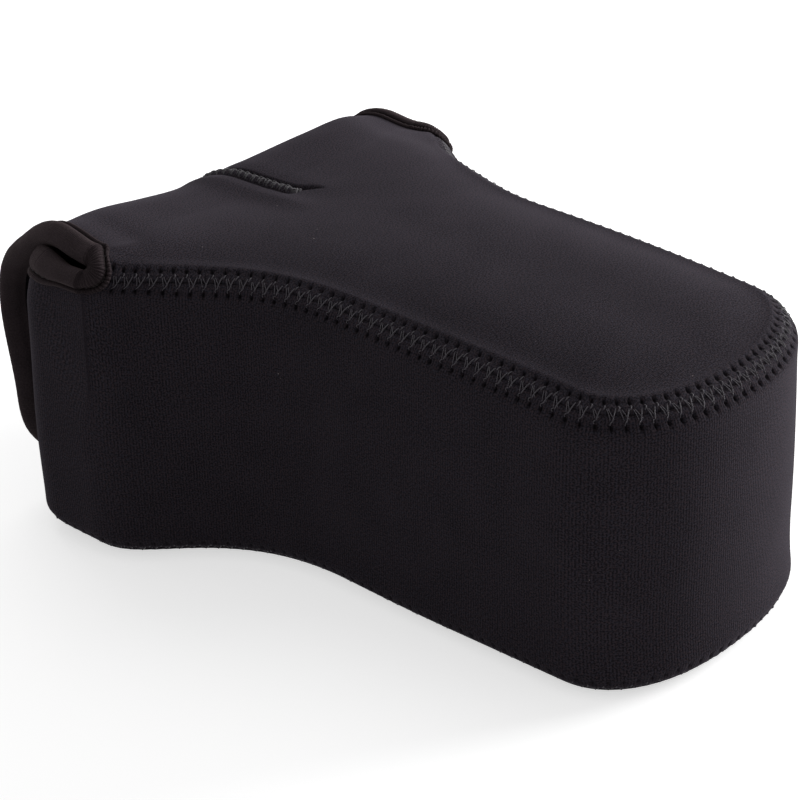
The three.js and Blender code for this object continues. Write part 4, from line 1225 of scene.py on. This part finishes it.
def knit_material(name, dark, light, warm_light, wale, course, wale_strength):
    """Fine jersey knit on foam: wales and courses in mm, worn flecks, lint, and painted shade from the mesh
    in needle holes, seam lines and dart creases.
    """
    n = Nodes(bpy.data.materials.new(name))
    uv, u, v = n.cloth_uv()
    wales = n.wave(n.about(u, n.noise(uv, 900.0, 1.0), 0.00018), wale)
    courses = n.wave(n.math("ADD", v, n.math("MULTIPLY", wales, 0.00006)), course)
    rows = n.math("MULTIPLY", courses, (1 - wale_strength) * 0.6)
    knit = n.math("MULTIPLY_ADD", wales, wale_strength, rows)
    fleck = n.noise(uv, 1900.0, 2.0)
    amount = n.math("MULTIPLY_ADD", knit, 0.1 + 0.22 * wale_strength, n.about(0.5, fleck, 4.0))
    amount = n.about(amount, n.noise(uv, 60.0, 4.0), 0.5, clamp=True)
    warm = n.about(0.5, n.noise(uv, 1300.0, 1.0), 4.0, clamp=True)
    colour = n.colour_mix(amount, dark, n.colour_mix(warm, light, warm_light))
    cells = n.cells(uv, LINT_SCALE)
    pick = n.add("SeparateColor", {0: cells.outputs["Color"]})
    chosen = n.math("GREATER_THAN", pick.outputs[0], LINT_CHOSEN)
    near = n.math("LESS_THAN", cells.outputs["Distance"], LINT_SIZE)
    lint = n.math("MULTIPLY", n.math("MULTIPLY", chosen, near), pick.outputs[1])
    colour = n.colour_mix(n.math("MULTIPLY", lint, 0.9), colour, srgb(146, 136, 138))
    height = n.math("ADD", n.math("MULTIPLY", knit, 0.5), n.math("MULTIPLY", fleck, 1.2))
    bumped = n.bump(height, 0.55, 0.00009)
    # Painted shade: the stored shade of holes, seam lines and creases darkens the colour toward near black
    return n.cloth(n.shaded(colour, 0.93, srgb(4, 3, 4)), 0.92, 0.16, 0.45, srgb(150, 142, 155), bumped, 0.03)


def tape_material(name):
    """Stretch binding: fine ribs across the tape, brownish black, darkened by painted shade in its groove and
    rib valleys.
    """
    n = Nodes(bpy.data.materials.new(name))
    uv, u, v = n.cloth_uv()
    fleck = n.noise(uv, 1800.0, 3.0)
    knit = n.math("MULTIPLY_ADD", n.wave(u, 0.5), 0.7, n.math("MULTIPLY", n.wave(v, 0.42), 0.3))
    amount = n.math("MULTIPLY_ADD", knit, 0.14, n.about(0.45, fleck, 1.1))
    amount = n.about(amount, n.noise(uv, 120.0, 3.0), 0.5, clamp=True)
    # Painted shade of the groove and rib valleys darkens the tape's colour
    colour = n.shaded(n.colour_mix(amount, srgb(30, 25, 27), srgb(66, 57, 60)), 0.9, srgb(5, 4, 4))
    bumped = n.bump(n.math("ADD", knit, n.math("MULTIPLY", fleck, 0.8)), 0.6, 0.00012)
    return n.cloth(colour, 0.85, 0.2, 0.4, srgb(150, 132, 132), bumped, 0.04)


def thread_material(name, dark, light):
    """Spun thread: two plies wound round each other."""
    n = Nodes(bpy.data.materials.new(name))
    uv, u, v = n.cloth_uv()
    twist = n.wave(n.math("MULTIPLY_ADD", v, 1.4, u), 0.55)
    amount = n.math("MULTIPLY_ADD", twist, 0.35, n.noise(uv, 2500.0, 2.0), clamp=True)
    bumped = n.bump(twist, 0.6, 0.00008)
    return n.cloth(n.colour_mix(amount, dark, light), 0.6, 0.25, 0.4, srgb(170, 165, 170), bumped, 0.35)


def patch_material(name, dark, light, scale):
    """Stiff hooks or soft loops: small round tufts."""
    n = Nodes(bpy.data.materials.new(name))
    tufts = n.cells(n.cloth_uv()[0], scale).outputs["Distance"]
    colour = n.colour_mix(n.math("MULTIPLY", tufts, 1.4, clamp=True), light, dark)
    bumped = n.bump(tufts, 0.8, 0.0004, invert=True)
    return n.cloth(colour, 0.55, 0.2, 0.4, srgb(150, 145, 150), bumped, 0.4)


top_cloth = knit_material("top_cloth", srgb(26, 24, 28), srgb(54, 52, 60), srgb(60, 52, 56), 0.62, 0.5, 0.3)
wall_cloth = knit_material("wall_cloth", srgb(25, 23, 27), srgb(51, 49, 57), srgb(58, 49, 53), 0.95, 0.7, 0.8)
tape_cloth = tape_material("tape_cloth")
seam_thread = thread_material("seam_thread", srgb(40, 37, 42), srgb(88, 83, 90))
dart_thread = thread_material("dart_thread", srgb(15, 13, 15), srgb(72, 68, 74))
dark_thread = thread_material("dark_thread", srgb(9, 8, 9), srgb(26, 24, 26))
hook_cloth = patch_material("hook_cloth", srgb(10, 9, 10), srgb(40, 38, 40), 900.0)
loop_cloth = patch_material("loop_cloth", srgb(12, 11, 12), srgb(52, 49, 52), 1400.0)

# The pieces, and what each one rides on

# The cloth bends just behind the slot line, which runs a little askew from slot end to slot end.
SLOT_SHIFTS = shift_at(np.array([-REAR_HALF_WIDTH, REAR_HALF_WIDTH]), -SLOT_LINE, SEAM_HEIGHT_REAR)


def bends(piece, *nodes, slot):
    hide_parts(*nodes)
    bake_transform(piece)


def rides(piece, body, *nodes, slot):
    if nodes:
        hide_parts(*nodes)
    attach(piece, body)


mouth_tape, flap_tape = bindings()
bends(top_and_flap(), "top_panel", "flap_panel", slot="panel_cloth")
rides(mouth_tape, "pouch", "mouth_binding", slot="binding_tape")
bends(flap_tape, "flap_binding", slot="binding_tape")
bends(dart_threads(), "dart_thread_top", "dart_thread_flap", slot="dark_thread")
rides(side_wall(), "pouch", "side_wall", slot="wall_cloth")
rides(bottom(), "pouch", "bottom_panel", slot="panel_cloth")


def bottom_seam_skin(along, above, lift):
    wall = wall_skin(along, np.maximum(above, 0), lift)
    under = bottom_skin(along, np.maximum(-above, 0), np.minimum(lift, 0.0))
    return np.where((above > 0)[..., None], wall, under)


def rear_wall_skin(u, v, lift):
    return wall_skin(v, u, lift)


TOP_STRAND_LIFT = -BAND_DIP + 0.08
LOW_STRAND_LIFT = -BAND_DIP * LOW_DEPTH - 0.1
REAR_STRAND_LIFT = 0.15
REAR_STRAND_ROW = 2.2
REAR_FIRST = BAND_HALF + STITCH_PITCH
REAR_STITCHES = int((PATCH_ON_WALL - PATCH_HEIGHT / 2 - REAR_FIRST) / STITCH_PITCH)

top_seam = (SEAM_FIRST, SEAM_STITCHES, SEAM_PITCH, TOP_STRAND_LIFT)
top_join = zigzag_threads("top_seam_stitches", skin, *top_seam, 11)
rides(top_join, "pouch", "top_seam_thread", slot="seam_thread")
low_seam = (STITCH_PITCH, LOW_STITCHES, LOW_PITCH, LOW_STRAND_LIFT)
low_join = zigzag_threads("bottom_seam_stitches", bottom_seam_skin, *low_seam, 12)
rides(low_join, "pouch", slot="seam_thread")

mouth_line, flap_line = mouth_path(), flap_path()
mouth_stitches = groove_threads("mouth_binding_stitches", skin, mouth_line, ways(mouth_line))
rides(mouth_stitches, "pouch", "mouth_binding_thread", slot="dark_thread")
flap_stitches = groove_threads("flap_binding_stitches", flap_skin, flap_line, -ways(flap_line))
bends(flap_stitches, "flap_binding_thread", slot="dark_thread")

loop = patch("loop_patch_pile", wall_skin, PATCH_ON_WALL, PATCH_OUTER, PATCH_FOOT, loop_cloth, 21)
rides(loop, "pouch", "loop_patch", slot="loop_tape")
hook_lifts = (-SHEET - PATCH_OUTER, -SHEET - PATCH_FOOT)
hook = patch("hook_patch_hooks", flap_skin, PATCH_ON_FLAP, *hook_lifts, hook_cloth, 22)
rides(hook, "flap", "hook_patch", slot="hook_tape")

rear_seam = (REAR_FIRST, REAR_STITCHES, STITCH_PITCH, REAR_STRAND_LIFT)
rear_join = zigzag_threads("rear_seam_stitches", rear_wall_skin, *rear_seam, 13, wide=REAR_STRAND_ROW)
rides(rear_join, "pouch", "rear_seam_thread", slot="seam_thread")

# Stage, lights and world


def floor(size, below):
    bpy.ops.mesh.primitive_plane_add(size=size, location=(0, 0, -below))
    plane = bpy.context.active_object
    plane.name = "floor"
    n = Nodes(bpy.data.materials.new("floor_white"))
    diffuse = n.add("BsdfDiffuse", {"Color": (0.82, 0.82, 0.82, 1)})
    glow = n.add("Emission", {"Color": (1, 1, 1, 1), "Strength": n.math("MULTIPLY", n.seen(), 0.6)})
    both = n.add("AddShader", {0: diffuse.outputs[0], 1: glow.outputs[0]})
    plane.data.materials.append(n.output("OutputMaterial", both))


def world(strength):
    """An even sky that is white only where the camera, a reflection or a clear thing sees it."""
    n = Nodes(bpy.data.worlds.new("studio"))
    level = n.math("MULTIPLY_ADD", n.seen(), 1 - strength, strength)
    bpy.context.scene.world = n.output("OutputWorld", n.add("Background", {"Strength": level}))


def area_light(name, at, target, size, power):
    data = bpy.data.lights.new(name, "AREA")
    data.shape = "DISK"
    data.size = size
    data.energy = power
    obj = bpy.data.objects.new(name, data)
    obj.location = at
    obj.rotation_euler = (Vector(target) - Vector(at)).to_track_quat("-Z", "Y").to_euler()
    bpy.context.scene.collection.objects.link(obj)


floor(size=30.0, below=0.0002)
world(strength=0.47)
area_light("key_above", at=(0.5, 0.9, 1.6), target=(0, 0, 0.05), size=1.2, power=6.0)
area_light("rim_right", at=(1.2, -0.5, 0.35), target=(0.03, -0.08, 0.06), size=0.7, power=24.0)
bpy.context.scene.view_settings.view_transform = "Standard"
